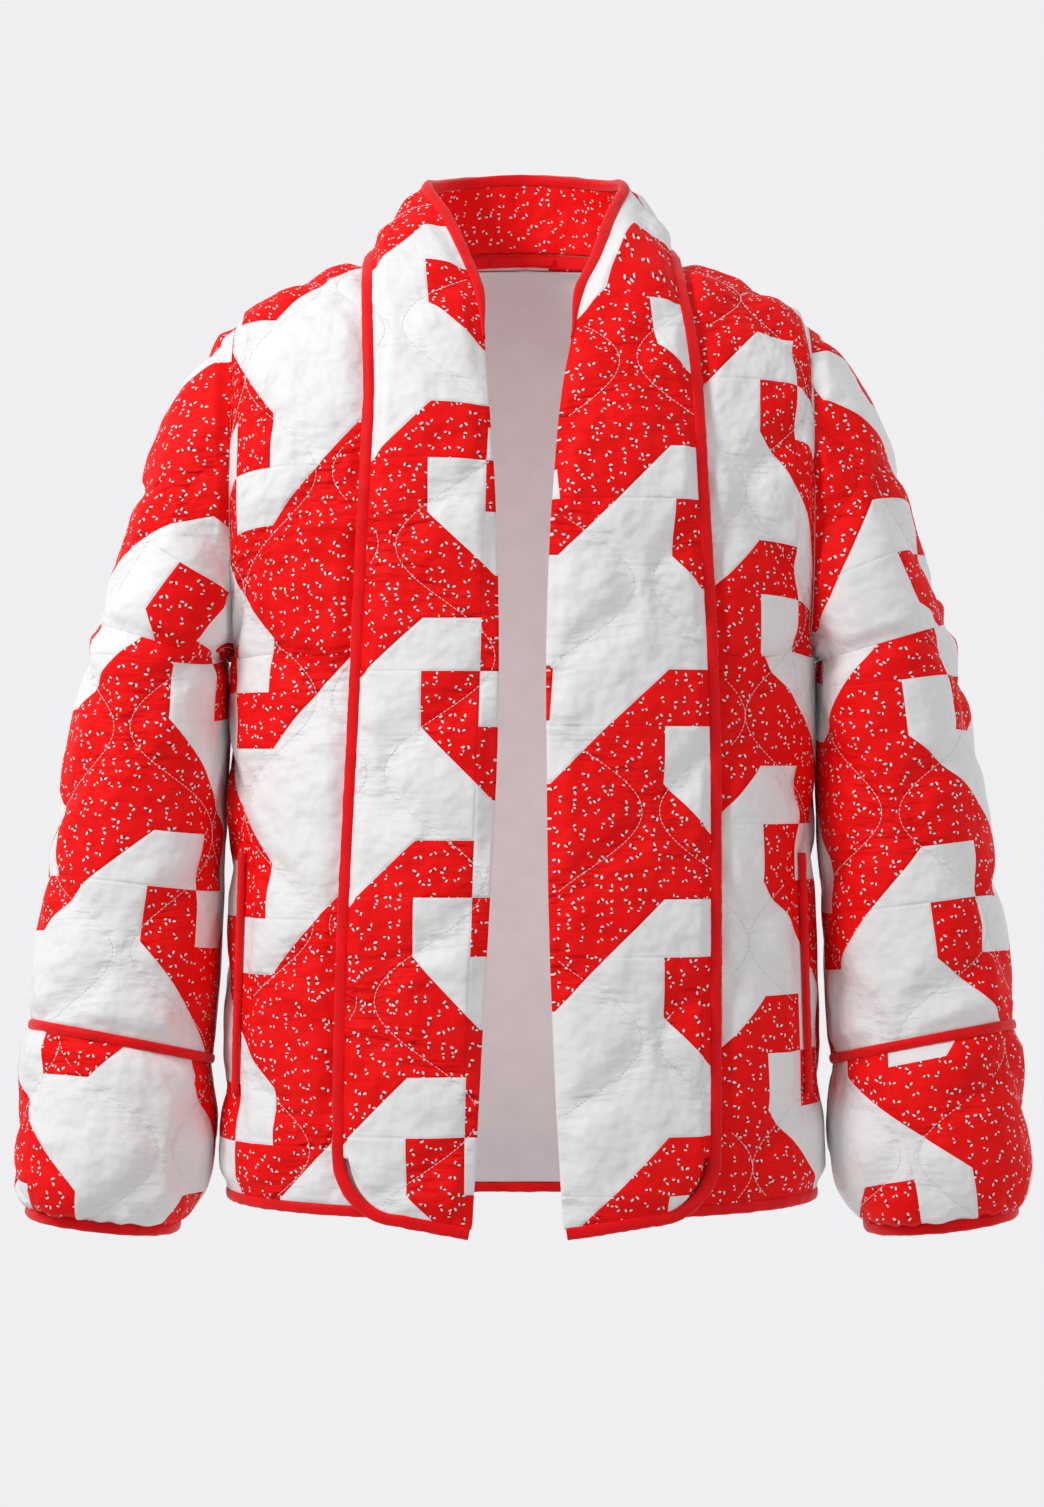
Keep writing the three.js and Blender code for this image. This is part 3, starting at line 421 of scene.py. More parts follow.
def station_at(length):
    return np.interp(length, BAND_LENGTH, BAND_W)


def shoulder_length(side, gap):
    """Length along the band at one shoulder, moved by gap away from the nape."""
    station = SHOULDER_STATION if side < 0 else LAST_STATION - SHOULDER_STATION
    return length_at(station) + side * gap


def band_width(w):
    return np.linalg.norm(along(SEAM_LINE, w) - along(FREE_LINE, w), axis=-1)


def band_low_station(side, k, inset):
    """Station of the band's lower outline with its rounded corner, at share k across."""
    width = BAND["seam" + tail(side)][0] - BAND["free" + tail(side)][0]
    corner = BAND_CORNER / width
    radius = BAND_CORNER - inset
    level = BAND_LOW + BAND_CORNER_RISE * clip01((1 - k) / (1 - corner)) + inset
    back = (corner - k) * width / radius
    z = np.where(back <= 0, level, level + radius * (1 - bow(clip01(back), 2)))
    w = (z - BAND["z"][0]) / (BAND["z"][1] - BAND["z"][0])
    return w if side < 0 else LAST_STATION - w


BAND_INSET = BINDING_WIDE / 2 + SEAM_GAP


def inset_point(share, w):
    return band_point(lerp(BAND_INSET / band_width(w), 1, share), w)


def band_place(side, u, v):
    """Share across from the binding and length along the band from the right hem, at u, v."""
    share = u if side < 0 else 1 - u
    low = length_at(band_low_station(side, share, BAND_INSET))
    return share, lerp(low, shoulder_length(side, SEAM_GAP), v)


def band_panel(side):
    def surface(u, v):
        share, length = band_place(side, u, v)
        return inset_point(share, station_at(length))

    return surface


def collar_panel(u, v):
    low, high = (shoulder_length(side, -SEAM_GAP) for side in (-1, 1))
    return inset_point(v, station_at(lerp(low, high, u)))


def band_cloth(side, cloth):
    """s from the band's seam and t upwards in its cloth, where t is the height as it hangs."""
    share, length = band_place(side, cloth.u, cloth.v)
    up = length if side < 0 else BAND_LENGTH[-1] - length
    return lerp(BAND_INSET, band_width(station_at(length)), share), BAND["z"][0] + up


# Sleeves
def ring_point(side, ring, turn):
    a, b = rounded(np.cos(turn), SLEEVE_SQUARE), rounded(np.sin(turn), SLEEVE_SQUARE)
    x = lerp(ring["in_x"], ring["out_x"], (1 - a) / 2)
    z = lerp(ring["in_z"], ring["out_z"], (1 - a) / 2) + ring["tilt"] * b
    return vec(side * x, ring["y"] - b * np.where(b > 0, ring["front"], ring["back"]), z)


def fan_ring(table, w):
    """A ring of the upper sleeve, whose rings spread like a fan from a place under the arm."""
    angle = np.radians(along(table["angle"], w))
    reach = along(table["reach"], w)
    return {
        "in_x": PIVOT_X + np.sin(angle) * PIVOT_CLEAR,
        "in_z": PIVOT_Z + np.cos(angle) * PIVOT_CLEAR,
        "out_x": PIVOT_X + np.sin(angle) * reach,
        "out_z": PIVOT_Z + np.cos(angle) * reach,
        "front": along(table["front"], w),
        "back": along(table["back"], w),
        "y": 0.0,
        "tilt": 0.0,
    }


def table_ring(table, w):
    return {name: along(values, w) for name, values in table.items()}


def shift_ring(ring, distance):
    """The ring moved along the sleeve, towards the wrist for a positive distance."""
    run_x, run_z = ring["out_x"] - ring["in_x"], ring["out_z"] - ring["in_z"]
    size = np.hypot(run_x, run_z)
    dx, dz = distance * run_z / size, -distance * run_x / size
    return {
        **ring,
        "in_x": ring["in_x"] + dx,
        "out_x": ring["out_x"] + dx,
        "in_z": ring["in_z"] + dz,
        "out_z": ring["out_z"] + dz,
    }


SLEEVE_END = {name: values[-1] for name, values in LOWER.items()}
CUFF_START = shift_ring(SLEEVE_END, CUFF_BINDING_WIDE + 2 * SEAM_GAP)
CUFF_END = {name: values[-1] for name, values in CUFF.items()}
CUFF_ROWS = {name: [CUFF_START[name], *values] for name, values in CUFF.items()}


def sleeve_panel(side, ring_at, table, gap, gap_end):
    """A tube of rings, which keeps a gap from the next piece at its end 0 or 1."""
    rows = len(table["front"]) - 1

    def surface(u, v):
        ring = shift_ring(ring_at(table, v * rows), gap * (v == gap_end))
        return ring_point(side, ring, u * 2 * math.pi)

    return surface


# Meshes
def make_object(name, points, quads, uvs=None, slots=None, materials=()):
    """A smooth mesh from points in millimetres and quads. Its UVs are the cloth's own coordinates.

    Where uvs has four columns, the last two are the distance from a quilting line and the
    place along it."""
    mesh = bpy.data.meshes.new(name)
    mesh.from_pydata((np.asarray(points) * MM).tolist(), [], np.asarray(quads).tolist())
    if uvs is not None:
        for k, layer in enumerate(("cloth", "sewing")[: uvs.shape[-1] // 2]):
            columns = np.ascontiguousarray(uvs[..., 2 * k : 2 * k + 2], np.float32)
            mesh.uv_layers.new(name=layer).uv.foreach_set("vector", columns.ravel())
    for material in materials:
        mesh.materials.append(material)
    if slots is not None:
        mesh.polygons.foreach_set("material_index", np.asarray(slots, np.int32))
    mesh.polygons.foreach_set("use_smooth", np.ones(len(mesh.polygons), bool))
    mesh.update()
    piece = bpy.data.objects.new(name, mesh)
    bpy.context.scene.collection.objects.link(piece)
    return piece


def grid_quads(rows, cols, start, flip):
    j, i = np.meshgrid(np.arange(rows - 1), np.arange(cols - 1), indexing="ij")
    a = start + j * cols + i
    quads = np.stack([a, a + 1, a + cols + 1, a + cols], axis=-1).reshape(-1, 4)
    return quads[:, ::-1] if flip else quads


RIM_STEPS = 4


def closed_wall(name, outer, inner, cloth, inner_cloth, wrap, rim, materials, flip):
    """A wall of cloth from its outer and inner grids, closed by rounded rims along its edges.

    The points of a tube's first and last column are the same, so its seam is welded."""
    rows, cols = outer.shape[:2]
    points = [outer.reshape(-1, 3), inner.reshape(-1, 3)]
    quads = [grid_quads(rows, cols, 0, flip), grid_quads(rows, cols, rows * cols, not flip)]
    uv = [cloth.reshape(-1, 4), inner_cloth.reshape(-1, 4)]
    slots = [np.zeros(len(quads[0])), np.ones(len(quads[1]))]
    index = np.arange(rows * cols).reshape(rows, cols)
    if wrap:
        loops = [(index[0], outer[0] - outer[1], False), (index[-1], outer[-1] - outer[-2], True)]
    else:
        sides = index[0], index[1:, -1], index[-1, -2::-1], index[-2:0:-1, 0], index[:1, 0]
        ring = np.concatenate(sides)
        away = np.zeros_like(outer)
        away[0] += unit(outer[0] - outer[1])
        away[-1] += unit(outer[-1] - outer[-2])
        away[:, 0] += unit(outer[:, 0] - outer[:, 1])
        away[:, -1] += unit(outer[:, -1] - outer[:, -2])
        loops = [(ring, away.reshape(-1, 3)[ring], False)]
    count = 2 * rows * cols
    for ring, away, turned in loops:
        o, i = points[0][ring], points[1][ring]
        middle, half = (o + i) / 2, (o - i) / 2
        bulge = rim * unit(away)
        turns = [math.pi * k / RIM_STEPS for k in range(1, RIM_STEPS)]
        extra = [middle + math.cos(turn) * half + math.sin(turn) * bulge for turn in turns]
        points.append(np.concatenate(extra))
        uv.append(np.tile(uv[0][ring], (len(extra), 1)))
        n = len(ring)
        between = [count + k * n + np.arange(n) for k in range(len(extra))]
        lines = [ring, *between, ring + rows * cols]
        for a, b in zip(lines, lines[1:]):
            strip = np.stack([a[:-1], b[:-1], b[1:], a[1:]], axis=-1)
            quads.append(strip[:, ::-1] if turned != flip else strip)
            slots.append(np.zeros(len(strip)))
        count += len(points[-1])
    points, quads, uv = np.concatenate(points), np.concatenate(quads), np.concatenate(uv)
    piece = make_object(name, points, quads, uv[quads], np.concatenate(slots), materials)
    weld(piece)
    return piece


def weld(piece):
    """Joins the points that lie on each other, at a tube's seam and at the start of a rim."""
    import bmesh

    bm = bmesh.new()
    bm.from_mesh(piece.data)
    bmesh.ops.remove_doubles(bm, verts=bm.verts, dist=2e-6)
    bm.to_mesh(piece.data)
    bm.free()


def surface_normals(grid, wrap, sign):
    du = np.gradient(grid, axis=1)
    if wrap:
        du[:, 0] = du[:, -1] = (grid[:, 1] - grid[:, -2]) / 2
    return unit(np.cross(du, np.gradient(grid, axis=0))) * sign


def arc_lengths(grid):
    across = np.zeros(grid.shape[:2])
    up = np.zeros(grid.shape[:2])
    across[:, 1:] = np.cumsum(np.linalg.norm(np.diff(grid, axis=1), axis=2), axis=1)
    up[1:] = np.cumsum(np.linalg.norm(np.diff(grid, axis=0), axis=2), axis=0)
    return across, up


# Quilting
def quilt_line(t, at):
    """Half the distance between a pair of quilting lines at t, and how fast it changes."""
    phase = (t - at[1]) / QUILT_PITCH * 2 * math.pi
    swing = (QUILT_PITCH - QUILT_NECK) / 4
    slope = swing * np.sin(phase) * 2 * math.pi / QUILT_PITCH
    return QUILT_NECK / 2 + swing * (1 - np.cos(phase)), slope


def quilt_distance(s, t, at):
    """Distance from the nearest quilting line, negative between a pair's two lines."""
    a = (s - at[0]) / QUILT_PITCH
    x = np.abs(a - np.round(a)) * QUILT_PITCH
    line, slope = quilt_line(t, at)
    return (x - line) / np.hypot(1, slope)


def quilt_rise(s, t, at, seed):
    """Padding between the lines, with small puckers beside the stitching."""
    d = quilt_distance(s, t, at)
    puff = 1 - np.exp(-((np.abs(d) / QUILT_VALLEY) ** 2))
    pucker = np.exp(-np.abs(d) / RIPPLE["fade"]) * (1 - np.exp(-((d / RIPPLE["ditch"]) ** 2)))
    ripple = RIPPLE["high"] * pucker * waves(s, t, seed, *RIPPLE["waves"])
    uneven = PUFF_WAVES["high"] * waves(s, t, seed + 1, *PUFF_WAVES["waves"])
    return PUFF * puff + ripple + uneven * puff


FAR_FROM_SEWING = 1000.0
PATH = {"jump": 6, "padding": 0.4, "edge": 1.5}  # where a line of stitches breaks off
EASE = {"reach": 60, "times": 60}


class Cloth:
    """One piece of quilted cloth: its grid, its own coordinates s, t and its raised outer face."""

    def __init__(self, name, surface, size, wrap=False, sign=1, wall=WALL, eased=False):
        cols, rows = (max(4, round(length / GRID)) for length in size)
        u, v = np.meshgrid(np.linspace(0, 1, cols + 1), np.linspace(0, 1, rows + 1))
        self.name, self.wrap, self.sign, self.wall = name + "_cloth", wrap, sign, wall
        self.u, self.v = u, v
        self.base = surface(u, v)
        if eased:
            self.ease()
        self.normal = surface_normals(self.base, wrap, sign)
        self.across, self.up = arc_lengths(self.base)
        edge = np.minimum(self.up, self.up[-1] - self.up)
        if not wrap:
            edge = np.minimum(edge, np.minimum(self.across, self.across[:, -1:] - self.across))
        self.edge = edge
        self.rise = np.zeros_like(edge)
        self.sewing = np.full(edge.shape + (2,), FAR_FROM_SEWING)

    def ease(self):
        """Rounds off the bend across the body at the height of the armpits."""
        y = self.base[..., 1]
        share = smooth(1 - np.abs(self.base[1:-1, :, 2] - ARMPIT_Z) / EASE["reach"]) / 2
        for _ in range(EASE["times"]):
            y[1:-1] += share * ((y[:-2] + y[2:]) / 2 - y[1:-1])

    def quilt(self, s, t, at, seed, keep=1.0):
        self.s, self.t, self.at = s, t, at
        self.sewing = np.stack([quilt_distance(s, t, at), t], axis=-1)
        fade = smooth(self.edge / EDGE_FADE) * keep
        self.keep = keep * np.ones_like(s)
        self.rise = self.rise + fade * quilt_rise(s, t, at, seed)
        if self.wrap:
            meeting = (self.rise[:, :1] + self.rise[:, -1:]) / 2
            beside = smooth(1 - (0.5 - np.abs(self.u - 0.5)) / TUBE_SEAM)
            self.rise = lerp(self.rise, meeting, beside)
        return self

    def patch(self, a, b):
        self.uv = np.stack([a, b], axis=-1)
        return self

    def build(self, materials, rim, inner_uv=None):
        """The wall of cloth. rim is how far its rounded edges stand out."""
        self.outer = self.base + self.normal * self.rise[..., None]
        inner = self.base - self.normal * self.wall
        outside = np.concatenate([self.uv, self.sewing], axis=-1)
        plain = np.full(self.sewing.shape, FAR_FROM_SEWING)
        inside = np.concatenate([self.uv if inner_uv is None else inner_uv, plain], axis=-1)
        grids = self.outer, inner, outside, inside
        return closed_wall(self.name, *grids, self.wrap, rim, materials, self.sign < 0)

    def stitch_paths(self):
        """The quilting lines as lists of points on the raised face, with the outward directions."""
        paths = []
        first = math.floor((self.s.min() - self.at[0]) / QUILT_PITCH) - 1
        last = math.ceil((self.s.max() - self.at[0]) / QUILT_PITCH) + 1
        for pair in range(first, last + 1):
            for half in (-1, 1):
                target = self.at[0] + pair * QUILT_PITCH + half * quilt_line(self.t, self.at)[0]
                paths += self.crossings(self.s - target)
        return paths

    def crossings(self, gap):
        """Where gap changes sign along each row, joined into paths from row to row."""
        change = gap[:, :-1] * gap[:, 1:] <= 0
        paths, current, last_i = [], [], None
        for j in range(gap.shape[0]):
            hits = np.nonzero(change[j])[0]
            if len(hits):
                i = hits[0] if last_i is None else hits[np.argmin(np.abs(hits - last_i))]
            good = len(hits) > 0 and (last_i is None or abs(i - last_i) < PATH["jump"])
            if good:
                f = gap[j, i] / (gap[j, i] - gap[j, i + 1] + 1e-12)
                keep = self.keep[j, i] > PATH["padding"] and self.edge[j, i] > PATH["edge"]
                point = lerp(self.outer[j, i], self.outer[j, i + 1], f)
                if keep:
                    current.append((point, self.normal[j, i]))
                last_i = i
            if not good or not keep:
                if len(current) > 2:
                    paths.append(current)
                current = []
                last_i = None if not good else last_i
        if len(current) > 2:
            paths.append(current)
        return paths


def resample(path, step):
    points = np.array([p for p, _ in path])
    normals = np.array([n for _, n in path])
    length = path_length(points)
    at = np.arange(0, length[-1], step)

    def spread(values):
        return np.stack([np.interp(at, length, values[:, k]) for k in range(3)], axis=1)

    return spread(points), unit(spread(normals))


# A stitch's rings of points: place along it, size and height, in lengths and radii
BEAD = ((-0.5, 0.15, -0.3), (-0.3, 1.0, 0.25), (0.3, 1.0, 0.25), (0.5, 0.15, -0.3))


def stitches(name, paths):
    """Every stitch as a small bent bead of thread, all in one mesh."""
    radius, sides = STITCH["radius"], STITCH["sides"]
    points, quads, count = [], [], 0
    for path in paths:
        p, n = resample(path, STITCH["length"] + STITCH["gap"])
        if len(p) < 3:
            continue
        run = unit(np.gradient(p, axis=0))
        wide = unit(np.cross(run, n))
        for shift, size, height in BEAD:
            centre = p + run * (shift * STITCH["length"]) + n * (height * radius)
            for k in range(sides):
                turn = (k + 0.5) / sides * 2 * math.pi
                out = wide * math.cos(turn) + n * math.sin(turn)
                points.append(centre + out * (radius * size))
        index = count + np.arange(len(BEAD) * sides * len(p)).reshape(len(BEAD), sides, len(p))
        beside = np.roll(index, -1, axis=1)
        walls = np.stack([index[:-1], index[1:], beside[1:], beside[:-1]], axis=-1)
        quads += [walls.reshape(-1, 4), index[0].T, index[-1, ::-1].T]
        count += index.size
    return make_object(name, np.concatenate(points), np.concatenate(quads), materials=[THREAD])


# Bindings
STRIP = {"sides": 14, "square": 2.9, "slant": 3, "round": 12, "high": 0.05, "waves": (22, 7, 8),
         "fade": 12}


def swept(name, points, normals, wide, thick, closed, seed):
    """A soft flattened strip swept along points, with the faint slanting ripples of bias cloth."""
    n, sides = len(points), STRIP["sides"]
    if closed:
        run = np.roll(points, -1, axis=0) - np.roll(points, 1, axis=0)
    else:
        run = np.gradient(points, axis=0)
    run = unit(run)
    across = unit(np.cross(run, normals))
    up = unit(np.cross(across, run))
    length = path_length(points)
    turn = (np.arange(sides) + 0.5) / sides * 2 * math.pi
    c, s = rounded(np.cos(turn), STRIP["square"]), rounded(np.sin(turn), STRIP["square"])
    slant = length[:, None] + STRIP["slant"] * c
    ripple = STRIP["high"] * waves(slant, STRIP["round"] * s[None, :], seed, *STRIP["waves"])
    if closed:
        ripple *= smooth(np.minimum(length, length[-1] - length) / STRIP["fade"])[:, None]
    grid = (
        points[:, None]
        + across[:, None] * (c * (1 + ripple) * np.reshape(wide, (-1, 1)) / 2)[..., None]
        + up[:, None] * (s * (1 + ripple) * thick / 2)[..., None]
    )
    j, k = np.meshgrid(np.arange(n if closed else n - 1), np.arange(sides), indexing="ij")
    nj, nk = (j + 1) % n * sides, (k + 1) % sides
    quads = np.stack([j * sides + k, nj + k, nj + nk, j * sides + nk], axis=-1).reshape(-1, 4)
    near, far = length[j], length[j] + length[1] if closed else length[j + 1]
    uvs = np.stack([near, k, far, k, far, k + 1, near, k + 1], axis=-1).reshape(-1, 4, 2) / UNIT
    if not closed:
        first = np.array([[k, k + 1, sides - 2 - k, sides - 1 - k] for k in range(sides // 2 - 1)])
        caps = np.concatenate([first, first[:, ::-1] + (n - 1) * sides])
        quads = np.concatenate([quads, caps])
        uvs = np.concatenate([uvs, np.zeros((len(caps), 4, 2))])
    return make_object(name, grid.reshape(-1, 3), quads, uvs, materials=[BINDING])


# Materials
SPECULAR = 0.1


class Graph:
    """The nodes of one material, with short calls for sums and textures."""

    def __init__(self, name, roughness, sheen=0.0):
        self.material = bpy.data.materials.new(name)
        self.material.use_nodes = True
        self.tree = self.material.node_tree
        self.shader = self.tree.nodes["Principled BSDF"]
        self.shade({"Roughness": roughness, "Sheen Weight": sheen, "Specular IOR Level": SPECULAR})

    def put(self, socket, value):
        if isinstance(value, bpy.types.NodeSocket):
            self.tree.links.new(value, socket)
        else:
            socket.default_value = value

    def shade(self, inputs):
        for key, value in inputs.items():
            self.put(self.shader.inputs[key], value)

    def node(self, kind, inputs, **settings):
        """The outputs of a new node. inputs are by name or number."""
        node = self.tree.nodes.new("ShaderNode" + kind)
        for key, value in settings.items():
            setattr(node, key, value)
        for key, value in inputs.items():
            self.put(node.inputs[key], value)
        return node.outputs

    def math(self, operation, *values):
        return self.node("Math", dict(enumerate(values)), operation=operation)[0]

    def vector(self, operation, a, b):
        second = 3 if operation == "SCALE" else 1
        return self.node("VectorMath", {0: a, second: b}, operation=operation)[0]

    def parts(self, vector):
        return self.node("SeparateXYZ", {0: vector})

    def mix(self, share, a, b):
        return self.node("Mix", {0: share, 6: a, 7: b}, data_type="RGBA")[2]

    def ramp(self, value, low, high):
        return self.node("MapRange", {0: value, 1: low, 2: high}, interpolation_type="SMOOTHSTEP")[0]

    def noise(self, vector, scale, detail):
        inputs = {"Vector": vector, "Scale": scale, "Detail": detail}
        return self.node("TexNoise", inputs, noise_dimensions="2D")[0]

    def bump(self, height, distance, below=None):
        inputs = {"Strength": 1.0, "Distance": distance * MM, "Height": height}
        if below is not None:
            inputs["Normal"] = below
        return self.node("Bump", inputs)[0]

    def uv(self, layer):
        return self.node("UVMap", {}, uv_map=layer)[0]

    def toned(self, uv, look, colour, dark):
        """The cloth's colour, with large soft patches of its darker shade."""
        tone = self.ramp(self.noise(uv, *look["tone"]), *look["tone_range"])
        return self.mix(self.math("MULTIPLY", tone, look["tone_share"]), colour, dark)


RED = (0.95, 0.0065, 0.0065, 1)
DARK_RED = (0.88, 0.003, 0.004, 1)
WHITE = (0.88, 0.88, 0.88, 1)
FLECK = (0.83, 0.80, 0.79, 1)
FLECK_HEART = (0.075, 0.022, 0.018, 1)
BINDING_RED = (0.88, 0.003, 0.006, 1)
BINDING_DARK = (0.62, 0.003, 0.006, 1)
LINING_WHITE = (0.74, 0.72, 0.73, 1)
LINING_DARK = (0.68, 0.66, 0.67, 1)
THREAD_COLOURS = (0.9, 0.88, 0.88, 1), (0.74, 0.71, 0.71, 1)
THREAD_TWIST = 900.0

# Textures: tone and crease are scale and detail, deep is in millimetres
COTTON = {
    "tone": (1.3, 4.0), "tone_range": (0.3, 0.7), "tone_share": 0.6,
    "crease": (1.5, 2.0), "crease_deep": 5.0, "rough": 0.62, "white_rough": 0.5, "red_rougher": 0.14,
    "seam": 0.05, "seam_deep": 0.35, "weave_deep": 0.02,
}
PLAIN = {
    "tone": (1.7, 4.0), "tone_range": (0.3, 0.75), "tone_share": 0.5,
    "crease": (3.0, 5.0), "rough": 0.5, "weave_deep": 0.025,
}
PUCKER = {"fade": 12, "long": 16, "wide": 7, "ditch": 1.8, "ditch_low": -0.24, "detail": 2.0,
          "deep": 3.0, "white": 0.8, "red_more": 1.2}
THREAD_PITCH = 0.5
BLOCK = 4.0  # the patches along a side of a block

# The scattered print: pitch and looseness of its flecks, and the centre and radii of each part
FLECKS = {"pitch": 9.4, "loose": 0.75, "least": 0.8, "more": 0.4}
PETALS = (((1.5, 0.5), (1.1, 0.6)), ((-1.35, -0.3), (0.62, 1.1)))
STALK = ((0.1, -0.2), (0.95, 0.62))


def puckers(g, share, below):
    """Short wrinkles across the quilting lines, which fade out beside them."""
    place = g.uv("sewing")
    away = g.math("ABSOLUTE", g.parts(place)[0])

    def fading(reach):
        return g.math("EXPONENT", g.math("MULTIPLY", away, -1 / reach))

    stretch = (1 / PUCKER["long"], 1 / PUCKER["wide"], 1)
    wrinkle = g.noise(g.vector("MULTIPLY", place, stretch), 1.0, PUCKER["detail"])
    ditch = g.math("MULTIPLY", fading(PUCKER["ditch"]), PUCKER["ditch_low"])
    height = g.math("MULTIPLY_ADD", fading(PUCKER["fade"]), wrinkle, ditch)
    return g.bump(g.math("MULTIPLY", height, share), PUCKER["deep"], below)


def weave(g, uv, deep, below):
    """Fine crossing threads as bump."""
    xyz = g.parts(uv)
    scale = UNIT / THREAD_PITCH * math.pi
    threads = [g.math("SINE", g.math("MULTIPLY", xyz[k], scale)) for k in (0, 1)]
    return g.bump(g.math("MULTIPLY", *threads), deep, below)


def oval(g, place, centre, radii):
    """1 inside an ellipse of the print's own places, 0 outside."""
    squares = []
    for k in (0, 1):
        d = g.math("DIVIDE", g.math("SUBTRACT", place[k], centre[k]), radii[k])
        squares.append(g.math("MULTIPLY", d, d))
    return g.math("LESS_THAN", g.math("ADD", *squares), 1.0)


def fleck_masks(g, uv):
    """A small scattered print: pairs of pale petals joined by a thin dark mark, turned all ways."""
    inputs = {"Vector": uv, "Scale": UNIT / FLECKS["pitch"], "Randomness": FLECKS["loose"]}
    spots = g.node("TexVoronoi", inputs, voronoi_dimensions="2D", feature="F1")
    offset = g.vector("SCALE", g.vector("SUBTRACT", uv, spots["Position"]), UNIT)
    chance = g.node("SeparateColor", {0: spots["Color"]})
    inputs = {"Vector": offset, "Angle": g.math("MULTIPLY", chance[0], 2 * math.pi)}
    xyz = g.parts(g.node("VectorRotate", inputs, rotation_type="Z_AXIS")[0])
    size = g.math("MULTIPLY_ADD", chance[1], FLECKS["more"], FLECKS["least"])
    place = [g.math("DIVIDE", xyz[k], size) for k in (0, 1)]
    petals = [oval(g, place, *petal) for petal in PETALS]
    return g.math("MAXIMUM", *petals), oval(g, place, *STALK)


def patch_masks(g, uv):
    """Red where the turning pinwheel blocks are red, and the distance from the nearest patch seam."""
    xyz = g.parts(uv)
    cell, local = [], []
    for k in (0, 1):
        cell.append(g.math("FLOOR", g.math("DIVIDE", xyz[k], BLOCK)))
        from_corner = g.math("SUBTRACT", xyz[k], g.math("MULTIPLY", cell[k], BLOCK))
        local.append(g.math("SUBTRACT", from_corner, BLOCK / 2))
    p, q = local
    corner = None
    for _ in range(4):
        diagonal = g.math("MULTIPLY", g.math("ADD", g.math("ADD", p, q), 2.0), math.sqrt(0.5))
        shape = g.math("MAXIMUM", g.math("ADD", q, 1.0), diagonal)
        corner = shape if corner is None else g.math("MINIMUM", corner, shape)
        p, q = q, g.math("MULTIPLY", p, -1.0)
    odd = g.math("FLOORED_MODULO", g.math("ADD", *cell), 2.0)
    in_corner = g.math("LESS_THAN", corner, 0.0)
    red = g.math("SUBTRACT", 1.0, g.math("ABSOLUTE", g.math("SUBTRACT", in_corner, odd)))
    reach = g.math("MAXIMUM", *(g.math("ABSOLUTE", c) for c in local))
    border = g.math("SUBTRACT", BLOCK / 2, reach)
    return red, g.math("MINIMUM", g.math("ABSOLUTE", corner), border)


def cotton_material(name, pieced):
    """Printed red cotton, pieced with white cotton where pieced is true."""
    g = Graph(name, COTTON["rough"])
    uv = g.uv("cloth")
    fleck, heart = fleck_masks(g, uv)
    ground = g.toned(uv, COTTON, RED, DARK_RED)
    colour = g.mix(fleck, g.mix(heart, ground, FLECK_HEART), FLECK)
    bump = g.bump(g.noise(uv, *COTTON["crease"]), COTTON["crease_deep"])
    if pieced:
        red, seam = patch_masks(g, uv)
        bump = puckers(g, g.math("MULTIPLY_ADD", red, PUCKER["red_more"], PUCKER["white"]), bump)
        colour = g.mix(red, WHITE, colour)
        rough = g.math("MULTIPLY_ADD", red, COTTON["red_rougher"], COTTON["white_rough"])
        g.shade({"Roughness": rough})
        bump = g.bump(g.ramp(seam, 0.0, COTTON["seam"]), COTTON["seam_deep"], bump)
    g.shade({"Base Color": colour, "Normal": weave(g, uv, COTTON["weave_deep"], bump)})
    return g.material


def plain_material(name, colour, dark, sheen, crease_deep):
    g = Graph(name, PLAIN["rough"], sheen)
    uv = g.uv("cloth")
    bump = g.bump(g.noise(uv, *PLAIN["crease"]), crease_deep)
    base = g.toned(uv, PLAIN, colour, dark)
    g.shade({"Base Color": base, "Normal": weave(g, uv, PLAIN["weave_deep"], bump)})
    return g.material


def thread_material():
    g = Graph("cotton thread", 0.5, 0.1)
    place = g.node("TexCoord", {})["Object"]
    twist = g.node("TexNoise", {"Vector": place, "Scale": THREAD_TWIST})[0]
    g.shade({"Base Color": g.mix(twist, *THREAD_COLOURS)})
    return g.material


PATCHWORK = cotton_material("patchwork cotton", True)
PRINT = cotton_material("print cotton", False)
LINING = plain_material("lining cotton", LINING_WHITE, LINING_DARK, 0.1, 0.7)
BINDING = plain_material("bias binding", BINDING_RED, BINDING_DARK, 0.15, 0.3)
THREAD = thread_material()


def finish_piece(piece, node=None):
    if node:
        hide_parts(node)
    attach(piece, "root")
    return piece


def finish_cloth(cloth, piece, node, sewn=True):
    """Puts a piece of cloth in place with its stitching."""
    finish_piece(piece, node)
    if sewn:
        thread = stitches("stitches_" + node, cloth.stitch_paths())
        finish_piece(thread)
    du, dv = np.diff(cloth.base, axis=1)[:-1], np.diff(cloth.base, axis=0)[:, :-1]


def finish_patchwork(name, cloth, s, t, inside=None, rim=RIM):
    """Lays the patchwork on a piece of cloth by its places s, t and puts it in place."""
    piece = cloth.patch(*patch_uv(name, s, t)).build([PATCHWORK, inside or LINING], rim)
    finish_cloth(cloth, piece, name)


